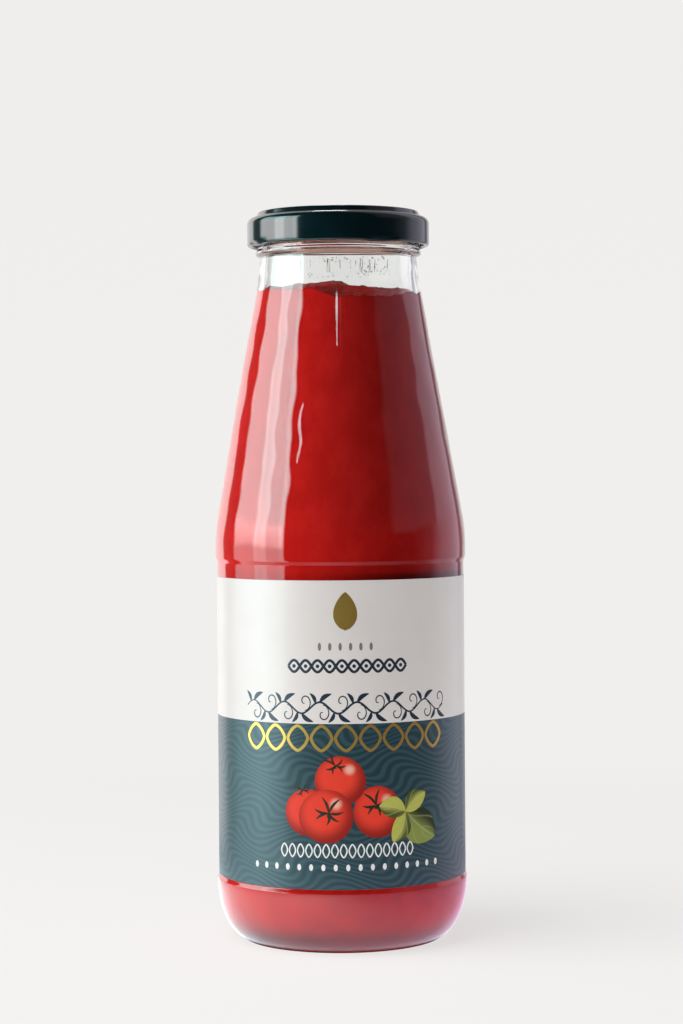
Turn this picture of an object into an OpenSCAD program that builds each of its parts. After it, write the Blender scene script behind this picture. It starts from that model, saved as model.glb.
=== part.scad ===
// Glass sauce bottle: a tapered jar-mouth bottle with a wrap-around paper label, a pressed-steel
// twist-off lid with its sealing compound, and the thick tomato sauce that fills it to the neck.
// Millimetres, +Z up, origin at the centre of the standing ring. The label's front faces -Y.

/* [Bottle] */
// Diameter of the body at the bulge under the shoulder
body_d = 78.1; // [65:0.1:94]
// Depth of the recessed panel that carries the label
panel_depth = 0.7; // [0.3:0.05:1.2]
// Height of the glass, from the standing ring to the sealing rim
bottle_h = 222.4; // [185:0.1:270]
// Thickness of the glass wall
wall = 2.4; // [1.8:0.1:3.2]
// Thickness of the glass floor above the standing ring
base_t = 4.2; // [3:0.1:6]
// Rise of the push-up in the middle of the underside
punt_h = 5; // [2:0.5:9]
// Width of the flat standing ring
ring_w = 2.4; // [1.5:0.1:4]
// Height of the rounded heel
heel_h = 19; // [15:0.5:19]
// Half-width of the ellipse that the heel follows
heel_w = 10.2; // [7:0.1:12]

/* [Shoulder and neck] */
// Height at which the shoulder's cone would leave the body
shoulder_z = 126.4; // [122:0.1:140]
// Height of the neck from the end of the cone to the rim
neck_h = 20; // [17:0.5:24]
// Radius that rounds the body into the cone
shoulder_r = 60; // [20:1:70]

/* [Finish] */
// Outer diameter of the finish, which the lid goes over
finish_d = 50.4; // [42:0.1:60.5]
// Thickness of the glass around the mouth
finish_wall = 3.2; // [2.6:0.1:4]
// How far the bead under the lid stands out
bead_out = 0.5; // [0.3:0.05:1]
// Height of the bead
bead_h = 2.4; // [2:0.1:3]
// Depth of the bead's middle below the rim
bead_depth = 9.9; // [9.9:0.1:11.9]
// How far the thread starts stand out
thread_out = 1.15; // [0.8:0.05:1.3]
// Number of thread starts, and of lugs in the lid
starts = 4; // [3:1:5]
// Angle that one thread start covers, in degrees
thread_angle = 62; // [30:1:70]
// Slope of a thread start, in degrees
thread_slope = 2.2; // [0:0.1:3]
// Height of a thread start
thread_h = 2.4; // [1.6:0.1:3]

/* [Label] */
// Height of the label's lower edge
label_z = 20.5; // [20.4:0.1:23]
// Height of the label
label_h = 92.2; // [60:0.1:93]
// Thickness of the label paper
paper = 0.12; // [0.08:0.01:0.3]
// Bare strip of glass left between the label's two ends, at the back
label_gap = 6; // [2:0.5:30]

/* [Lid] */
// How far the lid stands out from the finish all round
lid_out = 3.1; // [3:0.05:3.5]
// Height of the lid, from the curl to the top of the stacking ring
lid_h = 10.7; // [10:0.1:11]
// Thickness of the lid's steel sheet
sheet = 0.25; // [0.15:0.01:0.4]
// Radius of the curl along the lower edge
curl_r = 0.85; // [0.7:0.05:0.9]
// Radius of the lid's shoulder
lid_round = 2.5; // [1.8:0.1:3]
// Thickness of the sealing compound on the rim
seal_t = 1.05; // [0.8:0.05:1.3]
// Diameter of the safety button in the middle of the lid
button_d = 21; // [12:0.5:28]
// How far the vacuum has drawn the safety button down
button_drop = 0.5; // [0.1:0.1:1]
// Angle that one lug covers, in degrees
lug_angle = 16; // [8:1:24]
// How far the closed lid's lugs have run along the thread starts, in degrees from their middles
lug_turn = 24; // [0:1:30]

/* [Sauce] */
// Depth of the sauce's surface below the rim, at the middle
headspace = 20.4; // [17:0.1:40]
// Slope of the sauce's surface, in degrees
sauce_tilt = 7; // [0:0.5:10]
// Direction in which the sauce's surface rises, in degrees from +X
sauce_rise_to = 110; // [0:5:360]
// Height of the lumps in the sauce's surface
lump_h = 0.7; // [0:0.1:1.5]

/* [Hidden] */

body_r = body_d / 2;
panel_r = body_r - panel_depth;
inner_r = panel_r - wall;
finish_r = finish_d / 2;
mouth_r = finish_r - finish_wall;
bead_r = finish_r + bead_out;
thread_r = finish_r + thread_out;
neck_r = finish_r + 0.1;
waist_r = finish_r - 1;
lid_r = finish_r + lid_out;

// The recess that keeps the label clear of the neighbouring bottles
panel_below = 0.3;
panel_above = 4.3;
lower_step_h = 1;
upper_step_h = 1.4;
upper_step_r = body_r - 0.15;
panel_z0 = label_z - panel_below;
panel_z1 = min(label_z + label_h + panel_above, shoulder_z - 8);

// The cone, outside and inside
cone_top_z = bottle_h - neck_h;
cone_slope = (body_r - neck_r) / (cone_top_z - shoulder_z);
cone_wall = wall * sqrt(1 + cone_slope * cone_slope);
function cone_inner_z(r) = shoulder_z + (body_r - cone_wall - r) / cone_slope;
cone_round = 60;

// The rim and the bead
rim_round_out = 0.9;
rim_round_in = 1.1;
bead_z = bottle_h - bead_depth;
bead_flat = 1;
bead_round = 0.7;

// The lid's levels, all measured from the rim that it seals on
shoulder_under_z = bottle_h + seal_t;
lid_shoulder_z = shoulder_under_z + sheet;
stack_rise = 1.7;
stack_w = 1.6;
stack_ramp = 0.7;
stack_r = lid_r - lid_round - 0.9;
button_ramp = 1.2;
button_bend = 3;
press_bend = 0.5;
lid_top_z = lid_shoulder_z + stack_rise;
lid_bottom_z = lid_top_z - lid_h;
panel_drop = 1;
seal_inner_r = mouth_r + 0.8;
seal_outer_r = lid_r - 1.5;

arc_steps = 8;
heel_steps = 12;
overlap = 0.4;

// Point and direction helpers
function unit(v) = v / norm(v);
function flat(p) = [p[0], p[1]];
function wrapped(angle) = angle > 180 ? angle - 360 : angle < -180 ? angle + 360 : angle;

// The corner b of the path a-b-c, rounded with radius f
function corner(a, b, c, f) =
    let (
        u = unit(a - b),
        v = unit(c - b),
        half = acos(u * v) / 2,
        centre = b + unit(u + v) * f / sin(half),
        from = b + u * f / tan(half) - centre,
        to = b + v * f / tan(half) - centre,
        start = atan2(from[1], from[0]),
        sweep = wrapped(atan2(to[1], to[0]) - start)
    )
    [for (i = [0:arc_steps])
        let (a = start + sweep * i / arc_steps) centre + f * [cos(a), sin(a)]];

// A path of [r, z, rounding] corners as plain points. The first and last corner stay sharp
function rounded(path) = [
    for (i = [0:len(path) - 1])
        each i == 0 || i == len(path) - 1 || path[i][2] == 0
            ? [flat(path[i])]
            : corner(flat(path[i - 1]), flat(path[i]), flat(path[i + 1]), path[i][2])
];

// An ellipse's lower outer quarter, from the given angle past its lowest point to its outermost one
function heel(centre_r, centre_z, half_w, half_h, from) = [
    for (i = [0:heel_steps])
        let (a = from + (90 - from) * i / heel_steps)
        [centre_r + half_w * sin(a), centre_z - half_h * cos(a)]
];

// A shallow dome from the middle out to edge_r
function dome(edge_r, edge_z, rise) = [
    for (i = [0:arc_steps - 1])
        let (s = i / arc_steps) [edge_r * s, edge_z + rise * (1 - s * s)]
];

// The glass, from the middle of the underside up the outside to the rim
foot_angle = 22;
foot_round = 1.2;
heel_r = body_r - 0.2;
glass_heel = heel(heel_r - heel_w, heel_h, heel_w, heel_h, foot_angle);
ring_r = glass_heel[0][0] - foot_round;
glass_outside = concat(
    dome(ring_r - ring_w, 0, punt_h),
    [[ring_r - ring_w, 0]],
    corner([ring_r - ring_w, 0], [ring_r, 0], glass_heel[0], foot_round),
    glass_heel,
    rounded([
        [heel_r, heel_h, 0],
        [heel_r, panel_z0 - lower_step_h, 0.5],
        [panel_r, panel_z0, 0.5],
        [panel_r, panel_z1, 1],
        [upper_step_r, panel_z1 + upper_step_h, 2],
        [body_r, shoulder_z, shoulder_r],
        [neck_r, cone_top_z, cone_round],
        [waist_r, bead_z - bead_h / 2, bead_round],
        [bead_r, bead_z - bead_flat / 2, bead_round],
        [bead_r, bead_z + bead_flat / 2, bead_round],
        [finish_r, bead_z + bead_h / 2, bead_round],
        [finish_r, bottle_h, rim_round_out],
        [mouth_r, bottle_h, 0]
    ])
);

// The cavity, from the middle of its floor up to the mouth
inner_heel_w = heel_w + 0.8;
inner_heel_h = heel_h + 1;
cavity_floor = concat(
    dome(inner_r - inner_heel_w, base_t, punt_h - 0.6),
    heel(inner_r - inner_heel_w, inner_heel_h, inner_heel_w, inner_heel_h - base_t, 0)
);
function cavity_wall(top) = rounded([
    [inner_r, inner_heel_h, 0],
    [inner_r, cone_inner_z(inner_r), shoulder_r],
    [mouth_r, cone_inner_z(mouth_r), cone_round / 3],
    [mouth_r, bottle_h - rim_round_in, 0],
    [mouth_r, top, 0]
]);
function cavity(top) = concat(cavity_floor, cavity_wall(top), [[0, top]]);

// The lid's sheet, from the middle of the button to the curl. It is followed by its upper face
lid_path = rounded([
    [0, lid_top_z - panel_drop - button_drop, 0],
    [button_d / 2 - button_ramp, lid_top_z - panel_drop - button_drop, button_bend],
    [button_d / 2, lid_top_z - panel_drop, button_bend],
    [stack_r - stack_w - stack_ramp, lid_top_z - panel_drop, press_bend],
    [stack_r - stack_w, lid_top_z, press_bend],
    [stack_r, lid_top_z, press_bend],
    [stack_r + stack_ramp, lid_shoulder_z, press_bend],
    [lid_r, lid_shoulder_z, lid_round - 0.4],
    [lid_r, lid_bottom_z + curl_r, 0]
]);
curl_sweep = 250;
curl_steps = 24;
curl_path = [
    for (i = [1:curl_steps])
        let (a = curl_sweep * i / curl_steps)
        [lid_r - curl_r + curl_r * cos(a), lid_bottom_z + curl_r - curl_r * sin(a)]
];
lid_outside = concat(lid_path, curl_path);

// The direction of a path at point i, and the path moved to its right by t
function heading(path, i) = unit(path[min(i + 1, len(path) - 1)] - path[max(i - 1, 0)]);
function moved(path, t) = [
    for (i = [0:len(path) - 1])
        let (d = heading(path, i)) [max(path[i][0] + t * d[1], 0), path[i][1] - t * d[0]]
];
function reversed(path) = [for (i = [len(path) - 1:-1:0]) path[i]];
lid_inside = moved(lid_outside, sheet);

// The lugs sit close under the thread starts, the first of which is at the front
first_start = -90;
lug_play = 0.4;
lug_top_z = lid_bottom_z + 2 * curl_r - sheet;
thread_z = lug_top_z + thread_h / 2 + 0.1 - thread_r * sin(lug_turn - lug_angle / 2) * sin(thread_slope);

// Points of the lid's inner face that lie over the sealing compound
seal_top = [for (p = moved(lid_path, sheet)) if (p[0] > seal_inner_r && p[0] < seal_outer_r) p];

// Height of the sauce's surface at a radius and angle
sauce_z = bottle_h - headspace;
function sauce_height(r, a) =
    sauce_z
    + r * cos(a - sauce_rise_to) * tan(sauce_tilt)
    + lump_h * r / mouth_r * (cos(3 * a) + 0.6 * sin(5 * a - 25) + 0.4 * sin(9 * a))
    + lump_h * cos(180 * r / mouth_r);
surface_rings = 6;
surface_sectors = 40;
surface_reach = mouth_r + 8;
sauce_limit = min(bottle_h - 4, sauce_z + surface_reach * tan(sauce_tilt) + 4 * lump_h);
surface_floor = sauce_z - surface_reach * tan(sauce_tilt) - 4 * lump_h - 2;

module glass_threads() {
    flank = 0.3 * thread_h;
    for (i = [0:starts - 1])
        rotate([0, 0, first_start + i * 360 / starts])
            translate([0, 0, thread_z])
                rotate([thread_slope, 0, 0])
                    rotate([0, 0, -thread_angle / 2])
                        rotate_extrude(angle = thread_angle, $fn = 96)
                            polygon([
                                [finish_r - overlap, -thread_h / 2],
                                [thread_r - 0.3, -thread_h / 2],
                                [thread_r, flank - thread_h / 2],
                                [thread_r, thread_h / 2 - 2 * flank],
                                [finish_r - overlap, thread_h / 2]
                            ]);
}

module bottle() {
    color("lightcyan", 0.4) {
        difference() {
            rotate_extrude($fn = 128) polygon(concat(glass_outside, [[0, bottle_h]]));
            rotate_extrude($fn = 128) polygon(cavity(bottle_h + 1));
        }
        glass_threads();
    }
}

// A block under the uneven surface of the sauce, wider than the neck
module below_surface() {
    rings = [
        for (k = [1:surface_rings])
            let (r = surface_reach * k / surface_rings)
            [for (j = [0:surface_sectors - 1])
                let (a = 360 * j / surface_sectors) [r * cos(a), r * sin(a), sauce_height(r, a)]]
    ];
    outer_floor = [for (p = rings[surface_rings - 1]) [p[0], p[1], surface_floor]];
    points = concat([[0, 0, sauce_height(0, 0)]], [for (ring = rings) each ring], outer_floor);
    function at(k, j) = 1 + k * surface_sectors + j % surface_sectors;
    faces = concat(
        [for (j = [0:surface_sectors - 1]) [0, at(0, j + 1), at(0, j)]],
        [for (k = [0:surface_rings - 1]) for (j = [0:surface_sectors - 1])
            each [[at(k, j), at(k, j + 1), at(k + 1, j + 1)], [at(k, j), at(k + 1, j + 1), at(k + 1, j)]]],
        [[for (j = [0:surface_sectors - 1]) at(surface_rings, j)]]
    );
    polyhedron(points, faces);
}

// The cavity's profile cut off level at the surface block's floor, plus the overlap that joins them
function sauce_body() =
    let (
        wall_points = [for (p = cavity_wall(bottle_h)) if (p[1] < surface_floor) p],
        cut = surface_floor + overlap,
        cut_r = body_r - cone_wall - cone_slope * (cut - shoulder_z)
    )
    concat(cavity_floor, wall_points, [[cut_r, cut], [0, cut]]);

module passata() {
    color("firebrick") {
        rotate_extrude($fn = 128) polygon(sauce_body());
        intersection() {
            rotate_extrude($fn = 128) polygon(cavity(sauce_limit));
            below_surface();
        }
    }
}

module label() {
    gap_angle = 180 * label_gap / (PI * panel_r);
    color("white")
        rotate([0, 0, 90 + gap_angle / 2])
            translate([0, 0, label_z])
                rotate_extrude(angle = 360 - gap_angle, $fn = 128)
                    translate([panel_r, 0]) square([paper, label_h]);
}

module gasket() {
    color("tan")
        rotate_extrude($fn = 128)
            polygon(concat([[seal_inner_r, bottle_h]], seal_top, [[seal_outer_r, bottle_h]]));
}

module lid_lugs() {
    for (i = [0:starts - 1])
        rotate([0, 0, first_start + lug_turn - lug_angle / 2 + i * 360 / starts])
            rotate_extrude(angle = lug_angle, $fn = 96)
                translate([finish_r + lug_play, lid_bottom_z + sheet])
                    square([lid_r - curl_r - finish_r - lug_play, 2 * curl_r - 2 * sheet]);
}

module lid() {
    color("darkslategray") {
        rotate_extrude($fn = 128) polygon(concat(lid_outside, reversed(lid_inside)));
        lid_lugs();
    }
}

bottle();
passata();
label();
gasket();
lid();
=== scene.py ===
"""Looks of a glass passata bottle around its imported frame. Metres, +Z up, the label's front faces -Y."""

import logging
import math
from dataclasses import dataclass, field
from enum import Enum
from typing import Callable, Iterable, Sequence

import bpy
import numpy as np
from mathutils import Matrix, Vector


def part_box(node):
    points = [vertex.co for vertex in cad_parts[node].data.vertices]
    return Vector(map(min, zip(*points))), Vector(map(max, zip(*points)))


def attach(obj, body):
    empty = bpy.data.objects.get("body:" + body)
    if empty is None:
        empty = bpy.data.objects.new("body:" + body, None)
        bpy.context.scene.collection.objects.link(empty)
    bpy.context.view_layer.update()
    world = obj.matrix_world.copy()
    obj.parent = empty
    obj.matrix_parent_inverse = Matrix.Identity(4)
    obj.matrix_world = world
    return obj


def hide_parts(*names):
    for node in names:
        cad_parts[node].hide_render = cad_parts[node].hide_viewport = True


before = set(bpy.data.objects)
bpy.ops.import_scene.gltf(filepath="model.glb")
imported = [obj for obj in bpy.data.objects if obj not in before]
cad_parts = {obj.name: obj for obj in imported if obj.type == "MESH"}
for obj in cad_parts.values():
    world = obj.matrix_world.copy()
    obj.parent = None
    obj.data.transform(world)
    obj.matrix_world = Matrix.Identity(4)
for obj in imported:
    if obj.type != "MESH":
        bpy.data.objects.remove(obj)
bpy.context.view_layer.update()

LOG = logging.getLogger("bottle")
MM = 0.001
FRONT = -math.pi / 2
CREASE = math.radians(30)

Point = tuple[float, float]
Colour = tuple[float, float, float, float]
Tree = bpy.types.NodeTree
Node = bpy.types.Node
Socket = bpy.types.NodeSocket
Object = bpy.types.Object
Material = bpy.types.Material
Relief = Callable[[np.ndarray, np.ndarray, np.ndarray], np.ndarray]


# ---------------------------------------------------------------- small helpers


def linear(hex_colour: str) -> Colour:
    """Turns an sRGB hex colour into the linear one that shaders take.

    Args:
        hex_colour: Six hex digits after a hash.

    Returns:
        Linear red, green and blue, and an alpha of one.
    """
    parts = [int(hex_colour[i : i + 2], 16) / 255 for i in (1, 3, 5)]
    return (*[c / 12.92 if c <= 0.04045 else ((c + 0.055) / 1.055) ** 2.4 for c in parts], 1.0)


def add(tree: Tree, kind: str, inputs: dict | None = None, **settings: object) -> Node:
    """Adds one node with its settings and what feeds its inputs.

    Args:
        tree: The node tree that gets the node.
        kind: Blender's name for the node type.
        inputs: Socket name or index to a value, a socket, or a node whose first output is used.
        **settings: Properties of the node itself.

    Returns:
        The new node.
    """
    node = tree.nodes.new(kind)
    for name, value in settings.items():
        setattr(node, name, value)
    for key, value in (inputs or {}).items():
        if isinstance(value, Node):
            value = value.outputs[0]
        if isinstance(value, Socket):
            tree.links.new(value, node.inputs[key])
        else:
            node.inputs[key].default_value = value
    return node


def smooth(x: np.ndarray | float, low: float, high: float) -> np.ndarray:
    """A step from 0 at low to 1 at high with soft ends."""
    t = np.clip((np.asarray(x, dtype=float) - low) / (high - low), 0.0, 1.0)
    return t * t * (3 - 2 * t)


def window(x: np.ndarray, low: float, high: float, soft: float) -> np.ndarray:
    """One between low and high, and zero beyond, with soft ends that lie inside."""
    return smooth(x, low, low + soft) * (1 - smooth(x, high - soft, high))


def angle_from(angles: np.ndarray, centre: float) -> np.ndarray:
    """Signed angles from centre, between minus pi and pi."""
    return (angles - centre + math.pi) % (2 * math.pi) - math.pi


def rounded(path: Sequence[tuple[float, float, float]], steps: int = 12) -> list[Point]:
    """Rounds the corners of a path.

    Args:
        path: Corners as radius, height and rounding, where 0 keeps a corner sharp.
        steps: Pieces in each rounding.

    Returns:
        The path as plain points.
    """
    points: list[Point] = []
    for i, (r, z, fillet) in enumerate(path):
        if fillet == 0 or i in (0, len(path) - 1):
            points.append((r, z))
            continue
        corner = Vector((r, z))
        to_last = (Vector(path[i - 1][:2]) - corner).normalized()
        to_next = (Vector(path[i + 1][:2]) - corner).normalized()
        half = to_last.angle(to_next) / 2
        centre = corner + (to_last + to_next).normalized() * fillet / math.sin(half)
        start = corner + to_last * fillet / math.tan(half) - centre
        end = corner + to_next * fillet / math.tan(half) - centre
        sweep = start.angle_signed(end)
        for k in range(steps + 1):
            turn = -sweep * k / steps
            cos, sin = math.cos(turn), math.sin(turn)
            across, along = start.x * cos - start.y * sin, start.x * sin + start.y * cos
            points.append((centre.x + across, centre.y + along))
    return points


def refined(path: Iterable[Point], step: Callable[[float], float]) -> np.ndarray:
    """Splits a path's long stretches.

    Args:
        path: Points as radius and height.
        step: The longest stretch allowed at a height.

    Returns:
        An array of points, none of them doubled.
    """
    points = [np.array(p, dtype=float) for p in path]
    out = [points[0]]
    for b in points[1:]:
        a = out[-1]
        gap = float(np.linalg.norm(b - a))
        if gap < 1e-6:
            continue
        pieces = max(1, math.ceil(gap / step((a[1] + b[1]) / 2)))
        out += [a + (b - a) * k / pieces for k in range(1, pieces + 1)]
    return np.array(out)


def ring_angles(count: int, windows: Iterable[tuple[float, float, float]] = ()) -> np.ndarray:
    """Angles round a circle, closer together where fine relief needs it.

    Args:
        count: Even angles before the windows are put in.
        windows: Centre, half-width and step of each finer stretch, in degrees.

    Returns:
        Sorted angles in radians, from 0 to under a full turn.
    """
    angles = set(np.linspace(0, 360, count, endpoint=False).round(4))
    for centre, half, step in windows:
        angles = {a for a in angles if abs((a - centre + 180) % 360 - 180) > half}
        angles |= {round(a % 360, 4) for a in np.arange(centre - half, centre + half + step / 2, step)}
    return np.radians(sorted(angles))


def mesh_object(name: str, verts: np.ndarray, faces: list, uv: np.ndarray | None = None) -> Object:
    """Makes a smooth-shaded mesh object at the origin.

    Args:
        name: The piece's name.
        verts: Corner positions in millimetres.
        faces: Corner numbers of each face, counter-clockwise from outside.
        uv: One UV point for each vertex, or None.

    Returns:
        The linked object.
    """
    mesh = bpy.data.meshes.new(name)
    mesh.from_pydata((np.asarray(verts) * MM).tolist(), [], faces)
    mesh.validate()
    mesh.shade_smooth()
    if uv is not None:
        layer = mesh.uv_layers.new(name="UVMap")
        corners = np.empty(len(mesh.loops), dtype=np.int64)
        mesh.loops.foreach_get("vertex_index", corners)
        layer.data.foreach_set("uv", np.asarray(uv, dtype=float)[corners].ravel())
    ob = bpy.data.objects.new(name, mesh)
    bpy.context.scene.collection.objects.link(ob)
    return ob


def lathe(name: str, profile: np.ndarray, angles: np.ndarray, relief: Relief | None = None) -> Object:
    """Turns a profile about the Z axis into a closed skin.

    Args:
        name: The piece's name.
        profile: Radius and height of each point, so ordered that the outside lies to the path's right.
        angles: Angles of the columns, in radians.
        relief: Radial shift for arrays of radius, height and angle, or None.

    Returns:
        The turned object. Points on the axis become poles, and a path off the axis is closed on itself.
    """
    poles = (int(profile[0][0] < 1e-6), int(profile[-1][0] < 1e-6))
    body = profile[poles[0] : len(profile) - poles[1]]
    radius = np.repeat(body[:, :1], len(angles), axis=1)
    height = np.repeat(body[:, 1:], len(angles), axis=1)
    turn = np.repeat(angles[None, :], len(body), axis=0)
    if relief is not None:
        radius = radius + relief(radius, height, turn)
    verts = np.stack([radius * np.cos(turn), radius * np.sin(turn), height], axis=-1).reshape(-1, 3)
    rows, cols = len(body), len(angles)
    closed = not any(poles)
    faces = []
    for i in range(rows if closed else rows - 1):
        k = (i + 1) % rows
        for j in range(cols):
            n = (j + 1) % cols
            faces.append((i * cols + j, i * cols + n, k * cols + n, k * cols + j))
    if poles[0]:
        verts = np.vstack([verts, [0, 0, profile[0][1]]])
        faces += [(len(verts) - 1, (j + 1) % cols, j) for j in range(cols)]
    if poles[1]:
        verts = np.vstack([verts, [0, 0, profile[-1][1]]])
        base = (rows - 1) * cols
        faces += [(len(verts) - 1, base + j, base + (j + 1) % cols) for j in range(cols)]
    return mesh_object(name, verts, faces)


def dress(ob: Object, *materials: Material) -> None:
    """Gives a piece its materials in the order of its slots."""
    ob.data.materials.clear()
    for material in materials:
        ob.data.materials.append(material)


def settle(ob: Object, slot: str, node: str | None = None) -> Object:
    """Ties a finished piece to the frame and reports it.

    Args:
        ob: The piece.
        slot: The record's material slot that it stands for, which is only logged.
        node: The CAD node that it stands for, or None.

    Returns:
        The piece.
    """
    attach(ob, "root")
    if node is not None:
        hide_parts(node)
    LOG.info("%s: %d faces, slot %s", ob.name, len(ob.data.polygons), slot)
    return ob


# ---------------------------------------------------------------- finishes


@dataclass(frozen=True)
class Finish:
    """A material that knows its name and how to build its shader."""

    name: str

    def shade(self, tree: Tree) -> Socket:
        """Adds the shader's nodes and returns the socket for the surface."""
        raise NotImplementedError

    def build(self) -> Material:
        """Makes the material."""
        material = bpy.data.materials.new(self.name)
        material.use_nodes = True
        tree = material.node_tree
        tree.nodes.clear()
        add(tree, "ShaderNodeOutputMaterial", {"Surface": self.shade(tree)})
        return material


def grain(tree: Tree, size_mm: float, stretch: Sequence[float] = (1, 1, 1), **noise: float) -> Node:
    """Noise on Object coordinates with features of a given size.

    Args:
        tree: The material's tree.
        size_mm: Width of a feature.
        stretch: How much longer features are along each axis.
        **noise: Detail, Roughness or Distortion.

    Returns:
        The noise node, whose first output is the factor.
    """
    place = add(tree, "ShaderNodeTexCoord").outputs["Object"]
    scaled = add(tree, "ShaderNodeMapping", {"Vector": place, "Scale": [1 / s for s in stretch]})
    return add(tree, "ShaderNodeTexNoise", {"Vector": scaled, "Scale": 1000 / size_mm, **noise})


def blend(tree: Tree, factor: object, low: object, high: object) -> Socket:
    """Mixes two colours by a factor and returns the colour."""
    mix = add(tree, "ShaderNodeMix", {"Factor": factor}, data_type="RGBA")
    for name, value in (("A", low), ("B", high)):
        socket = next(s for s in mix.inputs if s.name == name and s.type == "RGBA")
        if isinstance(value, Socket):
            tree.links.new(value, socket)
        else:
            socket.default_value = value
    return next(s for s in mix.outputs if s.type == "RGBA")


def calc(tree: Tree, operation: str, *values: object) -> Socket:
    """One Math node on the values, returned as its socket."""
    return add(tree, "ShaderNodeMath", dict(enumerate(values)), operation=operation).outputs[0]


def between(tree: Tree, value: object, low: float, high: float) -> Socket:
    """Maps a range of values to a smooth step from 0 to 1."""
    step = {"Value": value, "From Min": low, "From Max": high}
    return add(tree, "ShaderNodeMapRange", step, interpolation_type="SMOOTHSTEP").outputs[0]


def bump(tree: Tree, height: object, depth_mm: float) -> Node:
    """Turns a height from 0 to 1 into a normal, with its depth in millimetres."""
    return add(tree, "ShaderNodeBump", {"Height": height, "Strength": 1.0, "Distance": depth_mm * MM})


@dataclass(frozen=True)
class FlintGlass(Finish):
    """Clear soda-lime container glass: a hard gloss over a slightly uneven wall."""

    name: str = "flint_container_glass"
    colour: str = "#FBFDFC"
    ior: float = 1.52
    ripple_mm: float = 5.0
    ripple_depth_mm: float = 0.012

    def shade(self, tree: Tree) -> Socket:
        """Glass that bends light, and lets lamps reach what it holds."""
        ripple = grain(tree, self.ripple_mm, (1, 1, 1.8), Detail=1.0, Roughness=0.4)
        glass = add(tree, "ShaderNodeBsdfPrincipled", {
            "Base Color": linear(self.colour), "Roughness": 0.0, "IOR": self.ior,
            "Transmission Weight": 1.0, "Normal": bump(tree, ripple, self.ripple_depth_mm),
        })
        path = add(tree, "ShaderNodeLightPath")
        lamp = calc(tree, "MAXIMUM", path.outputs["Is Shadow Ray"], path.outputs["Is Diffuse Ray"])
        clear = add(tree, "ShaderNodeBsdfTransparent", {"Color": linear(self.colour)})
        return add(tree, "ShaderNodeMixShader", {0: lamp, 1: glass, 2: clear}).outputs[0]


@dataclass(frozen=True)
class TomatoPulp(Finish):
    """Sieved cooked tomato: an opaque, slightly translucent red with fine fibre mottling."""

    name: str = "sieved_tomato"
    colour: str = "#C61F1C"
    dark: str = "#B91916"
    pale: str = "#CF3024"
    roughness: float = 0.55
    specular: float = 0.0
    mottle_mm: float = 7.0
    fibre_mm: float = 0.9
    lump_depth_mm: float = 0.0

    def shade(self, tree: Tree) -> Socket:
        """Broad mottling and fine fibre over one red, with a short glow under the surface."""
        broad = grain(tree, self.mottle_mm, (1, 1, 1.6), Detail=3.0, Roughness=0.6)
        fibre = grain(tree, self.fibre_mm, Detail=2.0, Roughness=0.7)
        red = blend(tree, between(tree, broad, 0.35, 0.68), linear(self.dark), linear(self.colour))
        red = blend(tree, between(tree, fibre, 0.62, 0.8), red, linear(self.pale))
        shader = add(tree, "ShaderNodeBsdfPrincipled", {
            "Base Color": red, "Roughness": self.roughness,
            "Specular IOR Level": self.specular, "IOR": 1.35,
            "Subsurface Weight": 0.25, "Subsurface Radius": (1.0, 0.25, 0.15), "Subsurface Scale": 1.5 * MM,
        })
        if self.lump_depth_mm:
            tree.links.new(bump(tree, fibre, self.lump_depth_mm).outputs[0], shader.inputs["Normal"])
        return shader.outputs[0]


@dataclass(frozen=True)
class LabelPaper(Finish):
    """Coated label paper, offset printed and varnished: white and teal under a soft sheen."""

    split: float = 0.5
    name: str = "varnished_label_paper"
    white: str = "#EFEBE8"
    teal: str = "#1B3B44"
    line: str = "#2E5059"
    wave_mm: float = 30.0
    drift_mm: float = 27.0
    drift_turn: float = 1.3
    swell_mm: float = 2.9
    line_gap_mm: float = 2.0

    def waves(self, tree: Tree, across: object, up: object) -> Socket:
        """Evenly spaced flowing lines.

        Args:
            tree: The material's tree.
            across: Arc length round the label, in millimetres.
            up: Height, in millimetres.

        Returns:
            One on a line and zero between lines.
        """
        sway = calc(tree, "SINE", calc(tree, "MULTIPLY", up, math.tau / self.drift_mm))
        drift = calc(tree, "MULTIPLY", sway, self.drift_turn)
        along = calc(tree, "MULTIPLY_ADD", across, math.tau / self.wave_mm, drift)
        level = calc(tree, "MULTIPLY_ADD", calc(tree, "SINE", along), self.swell_mm, up)
        phase = calc(tree, "SINE", calc(tree, "MULTIPLY", level, math.tau / self.line_gap_mm))
        return between(tree, phase, -0.6, 0.8)

    def shade(self, tree: Tree) -> Socket:
        """White above the split, teal with flowing lines below, and paper fibre in the varnish."""
        uv = add(tree, "ShaderNodeSeparateXYZ", {0: add(tree, "ShaderNodeUVMap", uv_map="UVMap")})
        lines = self.waves(tree, uv.outputs["X"], uv.outputs["Y"])
        teal = blend(tree, lines, linear(self.teal), linear(self.line))
        above = calc(tree, "GREATER_THAN", uv.outputs["Y"], self.split)
        fibre = grain(tree, 0.5, Detail=3.0)
        tone = between(tree, grain(tree, 14.0, Detail=2.0), 0.2, 0.8)
        white = blend(tree, tone, linear(self.white), linear("#EAE6E3"))
        return add(tree, "ShaderNodeBsdfPrincipled", {
            "Base Color": blend(tree, above, teal, white), "Roughness": 0.42, "Specular IOR Level": 0.4,
            "Coat Weight": 0.2, "Coat Roughness": 0.2,
            "Normal": bump(tree, fibre, 0.004),
        }).outputs[0]


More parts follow.
